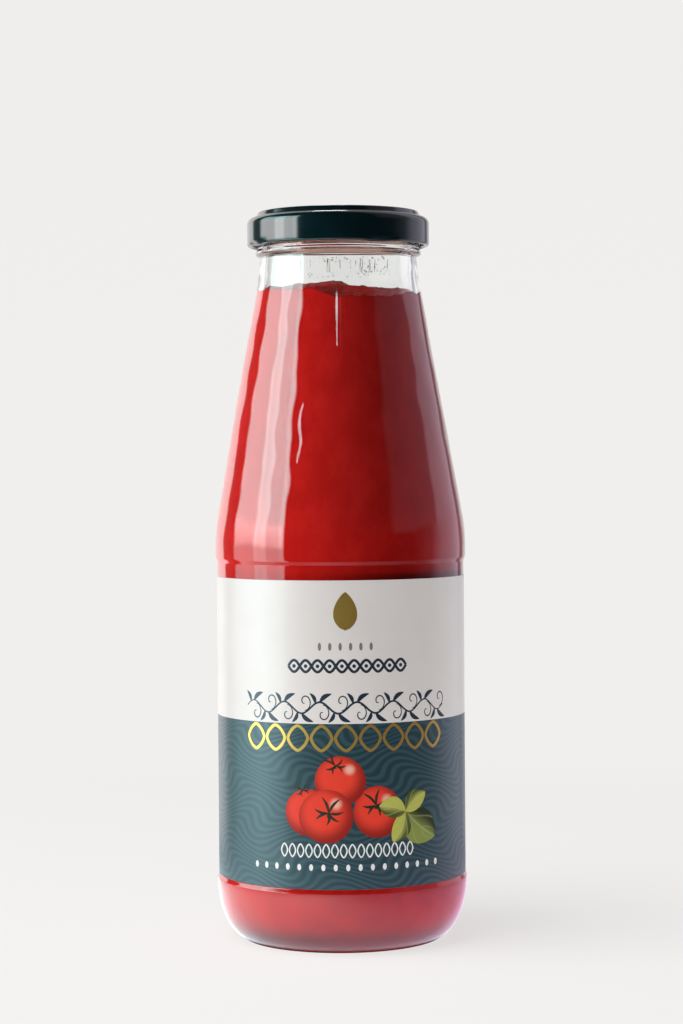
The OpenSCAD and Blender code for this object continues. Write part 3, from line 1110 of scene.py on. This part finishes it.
@dataclass
class WrapLabel:
    """The paper label, with everything printed and stamped on it."""

    low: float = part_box("label")[0][2] / MM
    high: float = top_of("label")
    paper: float = 0.12
    back_gap: float = 6.0
    split: float = 70.0
    centre: float = 1.34
    ink_t: float = 0.02

    def __post_init__(self) -> None:
        """Sets the radius of the printed face."""
        self.face_r = GlassBottle().panel_r + self.paper

    def place(self, s: float | np.ndarray, z: float | np.ndarray, lift: float = 0.0) -> np.ndarray:
        """A point on the label's face.

        Args:
            s: Arc length from the design's middle.
            z: Height.
            lift: Distance from the face.

        Returns:
            X, Y and Z in millimetres.
        """
        turn = FRONT + (np.asarray(s) + self.centre) / self.face_r
        r = self.face_r + lift
        return np.stack([r * np.cos(turn), r * np.sin(turn), np.asarray(z, dtype=float)], axis=-1)

    def wrap(self, name: str, patch: Patch, layer: int = 0) -> Object:
        """Bends a patch round the label as a closed film of ink.

        Args:
            name: The piece's name.
            patch: The flat print.
            layer: How many prints lie under it.

        Returns:
            The film.
        """
        flat = np.array(patch.points)
        top = self.place(flat[:, 0], flat[:, 1], self.ink_t + 0.012 * layer)
        under = self.place(flat[:, 0], flat[:, 1], -0.03)
        edges = {(f[i], f[(i + 1) % len(f)]) for f in patch.faces for i in range(len(f))}
        n = len(flat)
        faces = list(patch.faces) + [tuple(n + i for i in reversed(f)) for f in patch.faces]
        faces += [(b, a, n + a, n + b) for a, b in edges if (b, a) not in edges]
        film = mesh_object(name, np.vstack([top, under]), faces, np.array(patch.uv * 2))
        film.data.set_sharp_from_angle(angle=CREASE)
        return film

    def sheet(self) -> Object:
        """The paper: a thin sleeve that stops short of itself at the back."""
        half = math.pi * self.face_r - self.back_gap / 2
        s = np.linspace(-half, half, 260) - self.centre
        heights = np.linspace(self.low, self.high, 25)
        outer = [self.place(s, np.full_like(s, z)) for z in heights]
        inner = [self.place(s, np.full_like(s, z), -self.paper) for z in heights[::-1]]
        uv = [np.stack([s, np.full_like(s, z)], axis=-1) for z in [*heights, *heights[::-1]]]
        count, cols = 2 * len(heights), len(s)
        faces = [
            (i * cols + j, i * cols + j + 1, (i + 1) % count * cols + j + 1, (i + 1) % count * cols + j)
            for i in range(count) for j in range(cols - 1)
        ]
        for k in range(len(heights) - 1):
            out, back = k * cols, (count - 1 - k) * cols
            faces.append((out, out + cols, back - cols, back))
            last = cols - 1
            faces.append((out + last, back + last, back - cols + last, out + cols + last))
        rows = outer + inner
        paper = mesh_object("label_paper", np.vstack(rows), faces, np.vstack(uv))
        paper.data.set_sharp_from_angle(angle=CREASE)
        dress(paper, LabelPaper(split=self.split).build())
        return settle(paper, "label_paper", "label")

    def emblem(self) -> list[Object]:
        """A gold leaf standing over the title, with its midrib left bare."""
        halves = Patch()
        for side in (-1, 1):
            base, tip = (side * 0.25, 97.8), (side * 0.12, 109.3)
            outline = leaf(base, tip, 7.6, 0.0, 0.8)
            keep = [i for i, uv in enumerate(outline.uv) if side * uv[0] >= -1e-6]
            order = {old: new for new, old in enumerate(keep)}
            half = Patch([outline.points[i] for i in keep], [], [outline.uv[i] for i in keep])
            half.faces = [tuple(order[i] for i in f) for f in outline.faces if all(i in order for i in f)]
            halves.put(half)
        gold = self.wrap("gold_leaf", halves)
        dress(gold, GoldFoil().build())
        return [settle(gold, "label_paper")]

    def vine(self) -> Patch:
        """A running vine: a waved stem with leaves and curled tendrils on both sides."""
        left, right, middle = -33.0, 34.0, 74.8
        s = np.linspace(left, right, 140)
        pitch = 11.2

        def stem(x: float) -> float:
            """Height of the stem."""
            return middle + 1.7 * math.sin(math.tau * (x - left) / pitch)

        patch = ribbon([(x, stem(x)) for x in s], 0.6, 0.5)
        for k in range(12):
            x = left + pitch * (0.25 + k / 2)
            if x > right - 1:
                break
            up = 1 if k % 2 == 0 else -1
            root = (x, stem(x))
            patch.put(leaf(root, (x + 3.6, root[1] + up * 2.5), 1.35, up * 0.5))
            patch.put(leaf((x - 1.2, stem(x - 1.2)), (x - 3.0, root[1] + up * 2.7), 1.1, -up * 0.4))
            curl = []
            for t in np.linspace(0, 1, 26):
                a, r = 1.2 * math.pi * t * 1.6, 2.3 * (1 - t) ** 0.8 + 0.35
                curl.append((x + 1.0 + r * math.sin(a) * 0.8, root[1] - up * (1.2 + 2.3 - r * math.cos(a))))
            patch.put(ribbon(curl, 0.38, 0.4))
        return patch

    def title(self) -> Patch:
        """A plaited bar of two waved lines."""
        left, right, middle, high, pitch = -17.5, 19.0, 87.2, 1.75, 7.3
        s = np.linspace(left, right, 150)
        patch = Patch()
        for turn in (0.0, math.pi):
            wave = [(x, middle + high * math.sin(math.tau * (x - left) / pitch + turn)) for x in s]
            patch.put(ribbon(wave, 0.8))
        for k in range(10):
            patch.put(blob((left + pitch * (k / 2 + 0.25), middle), (0.55, 0.55), lambda a: 1.0, 16, 2))
        return patch

    def side_panels(self) -> Patch:
        """Ruled panels on both sides of the back: blocks of plain lines."""
        patch = Patch()
        rng = np.random.default_rng(3)
        for middle in (-88.0, 88.0):
            for k in range(20):
                z = 29.0 + 1.9 * k
                reach = 14.0 * (1 if k % 5 else 0.62) * rng.uniform(0.86, 1.0)
                ends = np.linspace(middle - 14.0, middle - 14.0 + 2 * reach, 12)
                patch.put(ribbon([(x, z) for x in ends], 0.55 if k % 5 else 0.9))
        return patch

    def printing(self) -> list[Object]:
        """Every flat ink on the label that isn't repeated round it."""
        made = []
        for name, patch, ink in (
            ("navy_vine", self.vine(), Ink.NAVY),
            ("navy_plait", self.title(), Ink.NAVY),
            ("white_rules", self.side_panels(), Ink.WHITE),
        ):
            film = self.wrap(name, patch)
            dress(film, PrintInk(f"{ink.name.lower()}_ink", ink.value).build())
            made.append(settle(film, "label_paper"))
        return made

    def rows(self) -> list[Object]:
        """The repeated marks: gold and white lozenges, grey pips and white dots."""
        def lozenge(z: float, wide: float, high: float, line: float) -> Patch:
            """An open lozenge with softly curved sides."""
            path = []
            for k in range(40):
                a = math.tau * k / 40
                c, s = math.cos(a), math.sin(a)
                u, v = math.copysign(abs(c) ** 1.35, c), math.copysign(abs(s) ** 1.35, s)
                path.append((wide / 2 * u, z + high / 2 * v))
            return ribbon(path, line, closed=True)

        gold = lozenge(65.7, 6.3, 7.4, 0.9)
        white = lozenge(32.1, 2.0, 3.9, 0.42)
        dot = blob((0, 27.1), (0.62, 1.0), lambda a: 1.0, 16, 2)
        pip = blob((0, 93.0), (0.5, 1.2), lambda a: 1.0, 16, 2)
        made = []
        for name, patch, count, pitch, middle, finish in (
            ("gold_lozenges", gold, 9, 7.35, 0.0, GoldFoil()),
            ("white_lozenges", white, 16, 2.62, 0.4, PrintInk("white_ink", Ink.WHITE.value)),
            ("white_dots", dot, 17, 3.72, 0.4, PrintInk("white_ink", Ink.WHITE.value)),
            ("grey_pips", pip, 6, 3.1, 0.0, PrintInk("grey_ink", Ink.GREY.value)),
        ):
            step = pitch / self.face_r
            start = middle / self.face_r - step * (count - 1) / 2
            row = ring_row(name, self.wrap(f"{name}_one", patch), count, step, start, finish.build())
            made.append(settle(row, "label_paper"))
        return made

    def still_life(self) -> list[Object]:
        """The printed group of tomatoes with a sprig of basil."""
        def round_with(dents: float, phase: float) -> Callable[[float], float]:
            """An outline that is almost round."""
            return lambda a: 1 + dents * math.sin(3 * a + phase) + dents * 0.7 * math.sin(2 * a - phase)

        tomatoes = (
            ("tomato_left", (-11.6, 43.6), (7.2, 7.0), 0.012, 0.4, 1),
            ("tomato_right", (9.6, 43.5), (7.6, 7.7), 0.012, 1.9, 1),
            ("tomato_top", (-1.8, 53.0), (7.7, 7.3), 0.010, 3.0, 2),
            ("tomato_front", (-6.1, 42.4), (8.2, 8.1), 0.012, 5.0, 3),
        )
        made = []
        red = TomatoPrint().build()
        for name, centre, half, dents, phase, layer in tomatoes:
            fruit = self.wrap(name, blob(centre, half, round_with(dents, phase), 56, 8), layer)
            dress(fruit, red)
            made.append(settle(fruit, "label_paper"))
        stalks = Patch()
        for centre, size, turn in (
            ((-5.3, 43.4), 6.4, 0.1), ((-3.2, 57.6), 4.6, 0.9),
            ((9.0, 45.6), 6.0, 0.5), ((-13.4, 50.2), 3.6, 1.2),
        ):
            for k in range(7):
                a = turn + math.tau * k / 7
                reach = size * (1.0 if k in (1, 2) else 0.72)
                tip = (centre[0] + reach * math.cos(a), centre[1] + reach * math.sin(a) * 0.8)
                stalks.put(leaf(centre, tip, size * 0.13, 0.45 if k % 2 else -0.45))
            stub = (centre[0] - 0.1, centre[1] - size * 0.2)
            stalks.put(ribbon([centre, stub], size * 0.14))
        star = self.wrap("tomato_stalks", stalks, 4)
        dress(star, PrintInk("stalk_ink", Ink.STALK.value).build())
        made.append(settle(star, "label_paper"))
        green = LeafPrint().build()
        deep = LeafPrint("printed_deep_leaf", "#8C9A48", "#26331A", "#A3B070").build()
        root = (18.5, 43.3)
        for name, tip, width, bend, layer, finish in (
            ("basil_deep", (29.8, 34.8), 11.0, -0.8, 5, deep),
            ("basil_low", (14.4, 34.2), 6.2, 0.9, 6, green),
            ("basil_high", (25.8, 48.6), 6.0, 0.7, 6, green),
            ("basil_left", (9.9, 45.2), 6.4, -0.5, 7, green),
        ):
            foliage = self.wrap(name, leaf(root, tip, width, bend, 0.95), layer)
            dress(foliage, finish)
            made.append(settle(foliage, "label_paper"))
        return made

    def build(self) -> list[Object]:
        """Makes the paper and all its print."""
        return [self.sheet(), *self.emblem(), *self.printing(), *self.rows(), *self.still_life()]


# ---------------------------------------------------------------- geometry nodes


def node_group(name: str, sockets: Sequence[tuple[str, str]]) -> Tree:
    """Starts a geometry tree.

    Args:
        name: The tree's name.
        sockets: Name and socket type of each input after the geometry.

    Returns:
        The tree, with its input and output nodes in place.
    """
    tree = bpy.data.node_groups.new(name, "GeometryNodeTree")
    tree.is_modifier = True
    tree.interface.new_socket("Geometry", in_out="INPUT", socket_type="NodeSocketGeometry")
    for label, kind in sockets:
        tree.interface.new_socket(label, in_out="INPUT", socket_type=kind)
    tree.interface.new_socket("Geometry", in_out="OUTPUT", socket_type="NodeSocketGeometry")
    return tree


def run_nodes(base: Object, tree: Tree, values: dict[str, object], name: str) -> Object:
    """Evaluates a geometry tree on a base and keeps the result as a plain mesh.

    Args:
        base: The object that carries the modifier for a moment, and is removed afterwards.
        tree: The tree.
        values: The inputs by name.
        name: The new piece's name.

    Returns:
        The new piece.
    """
    modifier = base.modifiers.new("nodes", "NODES")
    modifier.node_group = tree
    for item in tree.interface.items_tree:
        if item.in_out == "INPUT" and item.name in values:
            modifier[item.identifier] = values[item.name]
    bpy.context.view_layer.update()
    graph = bpy.context.evaluated_depsgraph_get()
    mesh = bpy.data.meshes.new_from_object(
        base.evaluated_get(graph), preserve_all_data_layers=True, depsgraph=graph
    )
    base.modifiers.remove(modifier)
    mesh.name = name
    ob = bpy.data.objects.new(name, mesh)
    bpy.context.scene.collection.objects.link(ob)
    bpy.data.objects.remove(base)
    return ob


def ring_row(
    name: str, piece: Object, count: int, step: float, start: float, material: Material
) -> Object:
    """Repeats a piece round the Z axis.

    Args:
        name: The row's name.
        piece: One of them, where it stands at the front. It is used up.
        count: How many there are.
        step: Angle from one to the next, in radians.
        start: Turn of the first from the front.
        material: What they are made of.

    Returns:
        The row as one piece.
    """
    tree = node_group("row_round_the_axis", [
        ("Count", "NodeSocketInt"), ("Step", "NodeSocketFloat"), ("Start", "NodeSocketFloat"),
        ("Piece", "NodeSocketObject"), ("Material", "NodeSocketMaterial"),
    ])
    given = add(tree, "NodeGroupInput").outputs
    places = add(tree, "GeometryNodeMeshLine", {"Count": given["Count"], "Offset": (0, 0, 0)})
    index = add(tree, "GeometryNodeInputIndex")
    terms = {0: index, 1: given["Step"], 2: given["Start"]}
    turn = add(tree, "ShaderNodeMath", terms, operation="MULTIPLY_ADD")
    turned = add(tree, "ShaderNodeCombineXYZ", {"Z": turn})
    one = add(tree, "GeometryNodeObjectInfo", {"Object": given["Piece"]})
    spread = add(tree, "GeometryNodeInstanceOnPoints", {
        "Points": places, "Instance": one.outputs["Geometry"], "Rotation": turned,
    })
    real = add(tree, "GeometryNodeRealizeInstances", {0: spread})
    painted = add(tree, "GeometryNodeSetMaterial", {"Geometry": real, "Material": given["Material"]})
    add(tree, "NodeGroupOutput", {0: painted})
    base = mesh_object(f"{name}_base", np.zeros((1, 3)), [])
    values = {"Count": count, "Step": step, "Start": start, "Piece": piece, "Material": material}
    row = run_nodes(base, tree, values, name)
    bpy.data.objects.remove(piece)
    return row


def scattered(
    name: str, host: Object, piece: Object, density: float, sizes: tuple[float, float],
    seed: int, material: Material,
) -> Object:
    """Scatters a piece over a surface.

    Args:
        name: The new piece's name.
        host: The surface. It is used up.
        piece: One of them, at the origin with its base facing down. It is used up.
        density: How many there are on a square metre.
        sizes: Smallest and largest scale.
        seed: Seed of the scatter.
        material: What they are made of.

    Returns:
        All of them as one piece.
    """
    tree = node_group("scatter_on_surface", [
        ("Density", "NodeSocketFloat"), ("Smallest", "NodeSocketFloat"), ("Largest", "NodeSocketFloat"),
        ("Seed", "NodeSocketInt"), ("Piece", "NodeSocketObject"), ("Material", "NodeSocketMaterial"),
    ])
    given = add(tree, "NodeGroupInput").outputs
    places = add(tree, "GeometryNodeDistributePointsOnFaces", {
        "Mesh": given["Geometry"], "Density": given["Density"], "Seed": given["Seed"],
    })
    size = add(tree, "FunctionNodeRandomValue", {"Seed": given["Seed"]}, data_type="FLOAT")
    floats = [s for s in size.inputs if s.type == "VALUE"]
    tree.links.new(given["Smallest"], floats[0])
    tree.links.new(given["Largest"], floats[1])
    drawn = next(s for s in size.outputs if s.type == "VALUE")
    one = add(tree, "GeometryNodeObjectInfo", {"Object": given["Piece"]})
    spread = add(tree, "GeometryNodeInstanceOnPoints", {
        "Points": places.outputs["Points"], "Instance": one.outputs["Geometry"],
        "Rotation": places.outputs["Rotation"], "Scale": drawn,
    })
    real = add(tree, "GeometryNodeRealizeInstances", {0: spread})
    painted = add(tree, "GeometryNodeSetMaterial", {"Geometry": real, "Material": given["Material"]})
    add(tree, "NodeGroupOutput", {0: painted})
    values = {
        "Density": density, "Smallest": sizes[0], "Largest": sizes[1], "Seed": seed, "Piece": piece,
        "Material": material,
    }
    result = run_nodes(host, tree, values, name)
    bpy.data.objects.remove(piece)
    return result


@dataclass
class Condensation:
    """Patches of fine drops on the inside of the neck, over the sauce."""

    glass: GlassBottle
    density: float = 500000.0
    drop_r: float = 0.3
    seed: int = 11
    patches: tuple[tuple[float, float, float, float], ...] = (
        (-84, -52, 207.5, 210.5), (-70, -50, 204.5, 207.0), (-102, -88, 208.0, 210.5),
        (40, 130, 207.5, 210.5),
    )

    def build(self) -> Object:
        """Scatters flattened drops over parts of the inner wall, facing the axis."""
        wall = refined(self.glass.cavity()[self.glass.floor_rings :], lambda z: 1.0)
        rows, cols = 5, 24
        verts, faces = [], []
        for start, end, low, high in self.patches:
            turn = np.radians(np.linspace(start, end, cols))
            heights = np.linspace(low, high, rows)
            radii = np.interp(heights, wall[:, 1], wall[:, 0])
            first = len(verts)
            verts += [(r * math.cos(a), r * math.sin(a), z) for z, r in zip(heights, radii) for a in turn]
            for corner in (first + i * cols + j for i in range(rows - 1) for j in range(cols - 1)):
                faces.append((corner + 1, corner, corner + cols, corner + cols + 1))
        band = mesh_object("neck_wall", np.array(verts), faces)
        cap = rounded([(0, 0.3, 0), (0.75, 0.24, 0.4), (1.0, -0.04, 0), (0, -0.04, 0)], 4)
        shape = np.array(cap[::-1]) * self.drop_r
        shape[0][0] = shape[-1][0] = 0.0
        drop = lathe("drop_one", shape, ring_angles(10))
        water = Water().build()
        drops = scattered("neck_drops", band, drop, self.density, (0.35, 1.1), self.seed, water)
        return settle(drops, "glass")


# ---------------------------------------------------------------- floor, light and camera


@dataclass
class Studio:
    """A pale sweep, one tall soft box at the left, a dim return at the right, and a long-lens camera."""

    floor_r: float = 4.0
    lit_r: float = 0.24
    shadow_share: float = 0.22
    faded_r: float = 0.5
    eye: tuple[float, float, float] = (0.00047, -0.795, 0.1485)
    pitch: float = math.radians(1.17)
    roll: float = math.radians(0.4)
    lens: float = 89.65
    backdrop: str = "#F1EFEE"
    sweep: str = "#F4F2F1"
    surround: tuple[tuple[float, float], ...] = (
        (-180, 0.88), (-165, 1.2), (-150, 1.8), (-137, 2.4), (-134, 0.15), (-114, 0.08), (-52, 0.03),
        (48, 0.03), (54, 0.22), (102, 0.42), (105, 1.15), (141, 1.15), (144, 0.25), (150, 0.25),
        (154, 0.88), (180, 0.88),
    )
    low_surround: tuple[tuple[float, float], ...] = (
        (-180, 0.88), (-165, 1.2), (-150, 1.8), (-137, 2.5), (-134, 0.2), (-114, 0.08), (-52, 0.02),
        (48, 0.01), (72, 0.04), (92, 0.25), (106, 1.0), (141, 1.2), (144, 0.3), (150, 0.4),
        (156, 1.0), (180, 0.88),
    )
    soft_box: tuple[tuple[float, float], ...] = (
        (-116, 0.0), (-113, 5.0), (-105, 5.6), (-97, 6.3), (-88, 7.2), (-70, 8.2), (-59, 8.6), (-57, 10.5),
        (-54, 10.5), (-52, 0.0),
    )
    gleam: tuple[tuple[float, float], ...] = ((-87, 0.0), (-85, 5.0), (-80, 3.2), (-73, 5.0), (-71, 0.0))
    aim: float = 0.11
    box_colour: tuple[float, float, float] = (1.0, 0.99, 0.98)
    left_tint: tuple[float, float, float] = (1.0, 0.985, 0.975)
    return_tint: tuple[float, float, float] = (0.98, 0.95, 1.14)
    return_span: tuple[float, float] = (50, 153)
    box_tint: tuple[float, float, float] = (0.62, 0.98, 1.0)
    box_low: Colour = (1.2, 1.2, 1.2, 1)
    box_below: Colour = (0.5, 0.78, 0.8, 1)
    seen_through_cap: Colour = (0.98, 0.96, 0.96, 1)
    uncapped: Colour = (99.0, 99.0, 99.0, 1)
    # Colours the floor glows with for rays other than the camera's: painted reflections, brighter on the
    # left than the right, and painted bounce light.
    mirrored_left: Colour = (2.0, 2.5, 2.6, 1)
    mirrored_right: Colour = (1.25, 0.95, 1.35, 1)
    mirrored_far: Colour = (0.35, 0.33, 0.35, 1)
    bounce_near: Colour = (1.1, 1.06, 1.04, 1)
    bounce_far: Colour = (0.25, 0.25, 0.25, 1)
    # Painted shadow round the foot, a painted glint and a painted contact shadow where the foot stands, and
    # painted shade under the base.
    foot_shade: Colour = (0.08, 0.05, 0.06, 1)
    contact_glint: Colour = (0.5, 5.0, 5.0, 1)
    painted_contact_shadow: Colour = (0.04, 0.03, 0.03, 1)
    painted_shade_under_base: Colour = (0.3, 0.36, 0.38, 1)
    paper_pieces: list[Object] = field(default_factory=list)

    def camera(self) -> Object:
        """Places the camera."""
        data = bpy.data.cameras.new("camera")
        data.sensor_fit = "VERTICAL"
        data.sensor_height = 36.0
        data.lens = self.lens
        ob = bpy.data.objects.new("camera", data)
        bpy.context.scene.collection.objects.link(ob)
        ahead = Vector((0, math.cos(self.pitch), -math.sin(self.pitch)))
        up = Vector((0, math.sin(self.pitch), math.cos(self.pitch)))
        right = Vector((1, 0, 0))
        top = up * math.cos(self.roll) + right * math.sin(self.roll)
        side = right * math.cos(self.roll) - up * math.sin(self.roll)
        ob.matrix_world = Matrix.Translation(self.eye) @ Matrix((side, top, -ahead)).transposed().to_4x4()
        bpy.context.scene.camera = ob
        return ob

    def world(self) -> None:
        """A pale backdrop to the camera, and bands of light and dark round the glass."""
        world = bpy.data.worlds.new("studio")
        bpy.context.scene.world = world
        world.use_nodes = True
        tree = world.node_tree
        tree.nodes.clear()
        way = add(tree, "ShaderNodeSeparateXYZ", {0: add(tree, "ShaderNodeTexCoord").outputs["Generated"]})
        turn = calc(tree, "ARCTAN2", way.outputs["X"], calc(tree, "MULTIPLY", way.outputs["Y"], -1.0))
        share = calc(tree, "MULTIPLY_ADD", turn, 1 / math.tau, 0.5)
        raised = between(tree, way.outputs["Z"], 0.11, 0.16)
        low_ring = self.ramp(tree, share, self.low_surround, self.return_tint).outputs["Color"]
        high_ring = self.ramp(tree, share, self.surround, self.return_tint).outputs["Color"]
        around = blend(tree, raised, low_ring, high_ring)
        box = self.ramp(tree, share, self.soft_box, self.box_colour)
        height = calc(tree, "MULTIPLY_ADD", between(tree, way.outputs["Z"], -0.06, 0.2), 0.45, 0.55)
        faded = calc(tree, "SUBTRACT", 1.0, between(tree, way.outputs["Z"], 0.45, 0.6))
        height = calc(tree, "MULTIPLY", height, faded)
        gleam = self.ramp(tree, share, self.gleam, self.box_colour)
        both = add(tree, "ShaderNodeVectorMath", {0: box, 1: gleam}, operation="ADD")
        shone = add(tree, "ShaderNodeVectorMath", {0: both, "Scale": height}, operation="SCALE")
        below = calc(tree, "SUBTRACT", 1.0, between(tree, way.outputs["Z"], -0.02, 0.03))
        steep = between(tree, way.outputs["Z"], 0.12, 0.19)
        cool = blend(tree, steep, self.box_low, (*self.box_tint, 1))
        cool = blend(tree, below, cool, self.box_below)
        shone = add(tree, "ShaderNodeVectorMath", {0: shone, 1: cool}, operation="MULTIPLY")
        bright = add(tree, "ShaderNodeVectorMath", {0: around, 1: shone}, operation="ADD")
        path = add(tree, "ShaderNodeLightPath")
        most = blend(tree, path.outputs["Is Transmission Ray"], self.uncapped, self.seen_through_cap)
        ramp = add(tree, "ShaderNodeVectorMath", {0: bright, 1: most}, operation="MINIMUM")
        high = between(tree, way.outputs["Z"], -0.02, 0.2)
        sky = blend(tree, high, linear(self.backdrop), linear("#EFEEED"))
        shown = add(tree, "ShaderNodeBackground", {"Color": sky})
        light = add(tree, "ShaderNodeBackground", {"Color": ramp})
        mixed = add(tree, "ShaderNodeMixShader", {0: path.outputs["Is Camera Ray"], 1: light, 2: shown})
        add(tree, "ShaderNodeOutputWorld", {"Surface": mixed})
        world.cycles_visibility.diffuse = False

    def ramp(
        self, tree: Tree, share: object, bands: Sequence[tuple[float, float]], tint: Sequence[float]
    ) -> Node:
        """A ring of brightness round the bottle.

        Args:
            tree: The world's tree.
            share: Azimuth as a share of the full turn.
            bands: Azimuth in degrees and brightness of each stop.
            tint: Colour of what lies to the right.

        Returns:
            The ramp.
        """
        node = add(tree, "ShaderNodeValToRGB", {0: share})
        stops = node.color_ramp.elements
        while len(stops) < len(bands):
            stops.new(0.5)
        for stop, (azimuth, level) in zip(stops, bands):
            stop.position = azimuth / 360 + 0.5
            tone = tint if self.return_span[0] < azimuth < self.return_span[1] else self.left_tint
            stop.color = (*[level * c for c in tone], 1.0)
        return node

    def lamp(
        self, name: str, azimuth: float, rise: float, far: float, size: tuple[float, float], level: float,
        receivers: Iterable[Object] | None = None, without: Iterable[Object] = (), use: str = "both",
    ) -> Object:
        """Adds a rectangular lamp that faces the bottle.

        Args:
            name: The lamp's name.
            azimuth: Degrees round from the camera's side, to the right.
            rise: Degrees above the floor.
            far: Distance from the bottle's middle.
            size: Width and height.
            level: Its brightness, as a share of display white.
            receivers: The only pieces that it lights, or None for all.
            without: Pieces that it leaves out.
            use: "matt" lights without being mirrored, "gloss" is only mirrored, and "both" does both.

        Returns:
            The lamp.
        """
        data = bpy.data.lights.new(name, "AREA")
        data.shape = "RECTANGLE"
        data.size, data.size_y = size
        data.energy = level * math.pi * size[0] * size[1]
        ob = bpy.data.objects.new(name, data)
        bpy.context.scene.collection.objects.link(ob)
        a, e = math.radians(azimuth), math.radians(rise)
        out = Vector((math.sin(a) * math.cos(e), -math.cos(a) * math.cos(e), math.sin(e)))
        place = Matrix.Translation(Vector((0, 0, self.aim)) + out * far)
        ob.matrix_world = place @ out.to_track_quat("Z", "Y").to_matrix().to_4x4()
        ob.visible_camera = False
        ob.visible_diffuse = use != "gloss"
        ob.visible_glossy = use != "matt"
        ob.visible_transmission = use != "matt"
        if receivers is not None or without:
            group = bpy.data.collections.new(f"{name}_lights")
            for piece in receivers if receivers is not None else without:
                group.objects.link(piece)
            if receivers is None:
                for entry in group.collection_objects:
                    entry.light_linking.link_state = "EXCLUDE"
            ob.light_linking.receiver_collection = group
        return ob

    def floor(self) -> Object:
        """A pale floor that takes the bottle's soft shadow and fades into the backdrop."""
        rings = [0.0001, 0.05, 0.1, 0.2, 0.35, 0.6, 1.2, self.floor_r]
        turn = np.linspace(0, math.tau, 96, endpoint=False)
        verts = np.vstack([
            np.stack([r * np.cos(turn), r * np.sin(turn), 0 * turn], axis=-1) for r in rings
        ])
        n = len(turn)
        faces = [(i * n + j, (i + 1) * n + j, (i + 1) * n + (j + 1) % n, i * n + (j + 1) % n)
                 for i in range(len(rings) - 1) for j in range(n)]
        faces.append(tuple(range(n)))
        ob = mesh_object("floor", verts / MM, faces)
        material = bpy.data.materials.new("seamless_paper")
        material.use_nodes = True
        tree = material.node_tree
        tree.nodes.clear()
        place = add(tree, "ShaderNodeTexCoord").outputs["Object"]
        away = add(tree, "ShaderNodeVectorMath", {0: place}, operation="LENGTH").outputs["Value"]
        matt = add(tree, "ShaderNodeBsdfDiffuse", {"Color": linear("#ECEAE9")})
        faded = add(tree, "ShaderNodeEmission", {"Color": linear(self.backdrop)})
        glow = add(tree, "ShaderNodeEmission", {"Color": linear(self.sweep)})
        lit = add(tree, "ShaderNodeMixShader", {0: self.shadow_share, 1: glow, 2: matt})
        fading = between(tree, away, self.lit_r, self.faded_r)
        shown = add(tree, "ShaderNodeMixShader", {0: fading, 1: lit, 2: faded})
        # Every ray but the camera's sees the floor glow with painted light and shade, which stands in for
        # how it is lit.
        path = add(tree, "ShaderNodeLightPath")
        side = add(tree, "ShaderNodeSeparateXYZ", {0: place}).outputs["X"]
        # Painted reflection: brighter on the left than the right, as if lit from the left with the shadow
        # falling right, and dimmer further out.
        mirrored = blend(tree, between(tree, side, -0.07, 0.07), self.mirrored_left, self.mirrored_right)
        mirrored = blend(tree, between(tree, away, 0.09, 0.2), mirrored, self.mirrored_far)
        # Painted bounce light, brighter near the bottle.
        soft = blend(tree, between(tree, away, 0.22, 0.5), self.bounce_near, self.bounce_far)
        # Painted shadow round the foot, for rays that aren't glossy.
        touch = blend(tree, between(tree, away, 0.030, 0.042), self.foot_shade, soft)
        # For glossy rays, a painted glint under the foot with a painted contact shadow ring just outside
        # it.
        contact = blend(tree, between(tree, away, 0.0290, 0.0298), self.contact_glint, self.painted_contact_shadow)
        mirrored = blend(tree, between(tree, away, 0.0305, 0.0325), contact, mirrored)
        # Painted shade under the base.
        under = blend(tree, between(tree, away, 0.022, 0.028), self.painted_shade_under_base, touch)
        under = blend(tree, path.outputs["Is Glossy Ray"], under, mirrored)
        bounce = add(tree, "ShaderNodeEmission", {"Color": under})
        beyond = calc(tree, "MULTIPLY", path.outputs["Is Glossy Ray"], between(tree, away, 0.16, 0.26))
        through = add(tree, "ShaderNodeBsdfTransparent")
        seen = add(tree, "ShaderNodeMixShader", {0: beyond, 1: bounce, 2: through})
        mixed = add(tree, "ShaderNodeMixShader", {0: path.outputs["Is Camera Ray"], 1: seen, 2: shown})
        add(tree, "ShaderNodeOutputMaterial", {"Surface": mixed})
        dress(ob, material)
        return ob

    def build(self) -> None:
        """Sets up the floor, the lamps, the world and the camera."""
        floor = self.floor()
        self.world()
        plain = [floor, *self.paper_pieces]
        self.lamp("key", -69, 15, 0.7, (0.5, 0.5), 7.4, without=plain, use="matt")
        self.lamp("return", 110, 10, 0.7, (0.9, 0.8), 0.3, without=plain, use="matt")
        self.lamp("label_wash", -52, 20, 0.8, (1.1, 0.9), 1.85, receivers=self.paper_pieces, use="matt")
        self.lamp("label_return", 95, 15, 0.8, (1.0, 0.9), 0.85, receivers=self.paper_pieces, use="matt")
        self.lamp("floor_wash", -60, 62, 1.7, (1.3, 1.3), 8.0, receivers=[floor])
        self.lamp("lid_spark", 184, 58, 0.7, (0.1, 0.1), 20.0, without=plain, use="gloss")
        self.camera()
        scene = bpy.context.scene
        scene.view_settings.view_transform = "Standard"
        scene.view_settings.look = "None"
        scene.cycles.max_bounces = 16
        scene.cycles.transmission_bounces = 14
        scene.cycles.transparent_max_bounces = 16


def main() -> None:
    """Builds the bottle and everything in and on it, then the studio."""
    logging.basicConfig(level=logging.INFO, format="%(message)s")
    glass = GlassBottle()
    glass.build()
    Passata(glass).build()
    lid = TwistLid()
    lid.build()
    SealRing(lid).build()
    paper = WrapLabel().build()
    Condensation(glass).build()
    Studio(paper_pieces=paper).build()


if __name__ == "__main__":
    main()
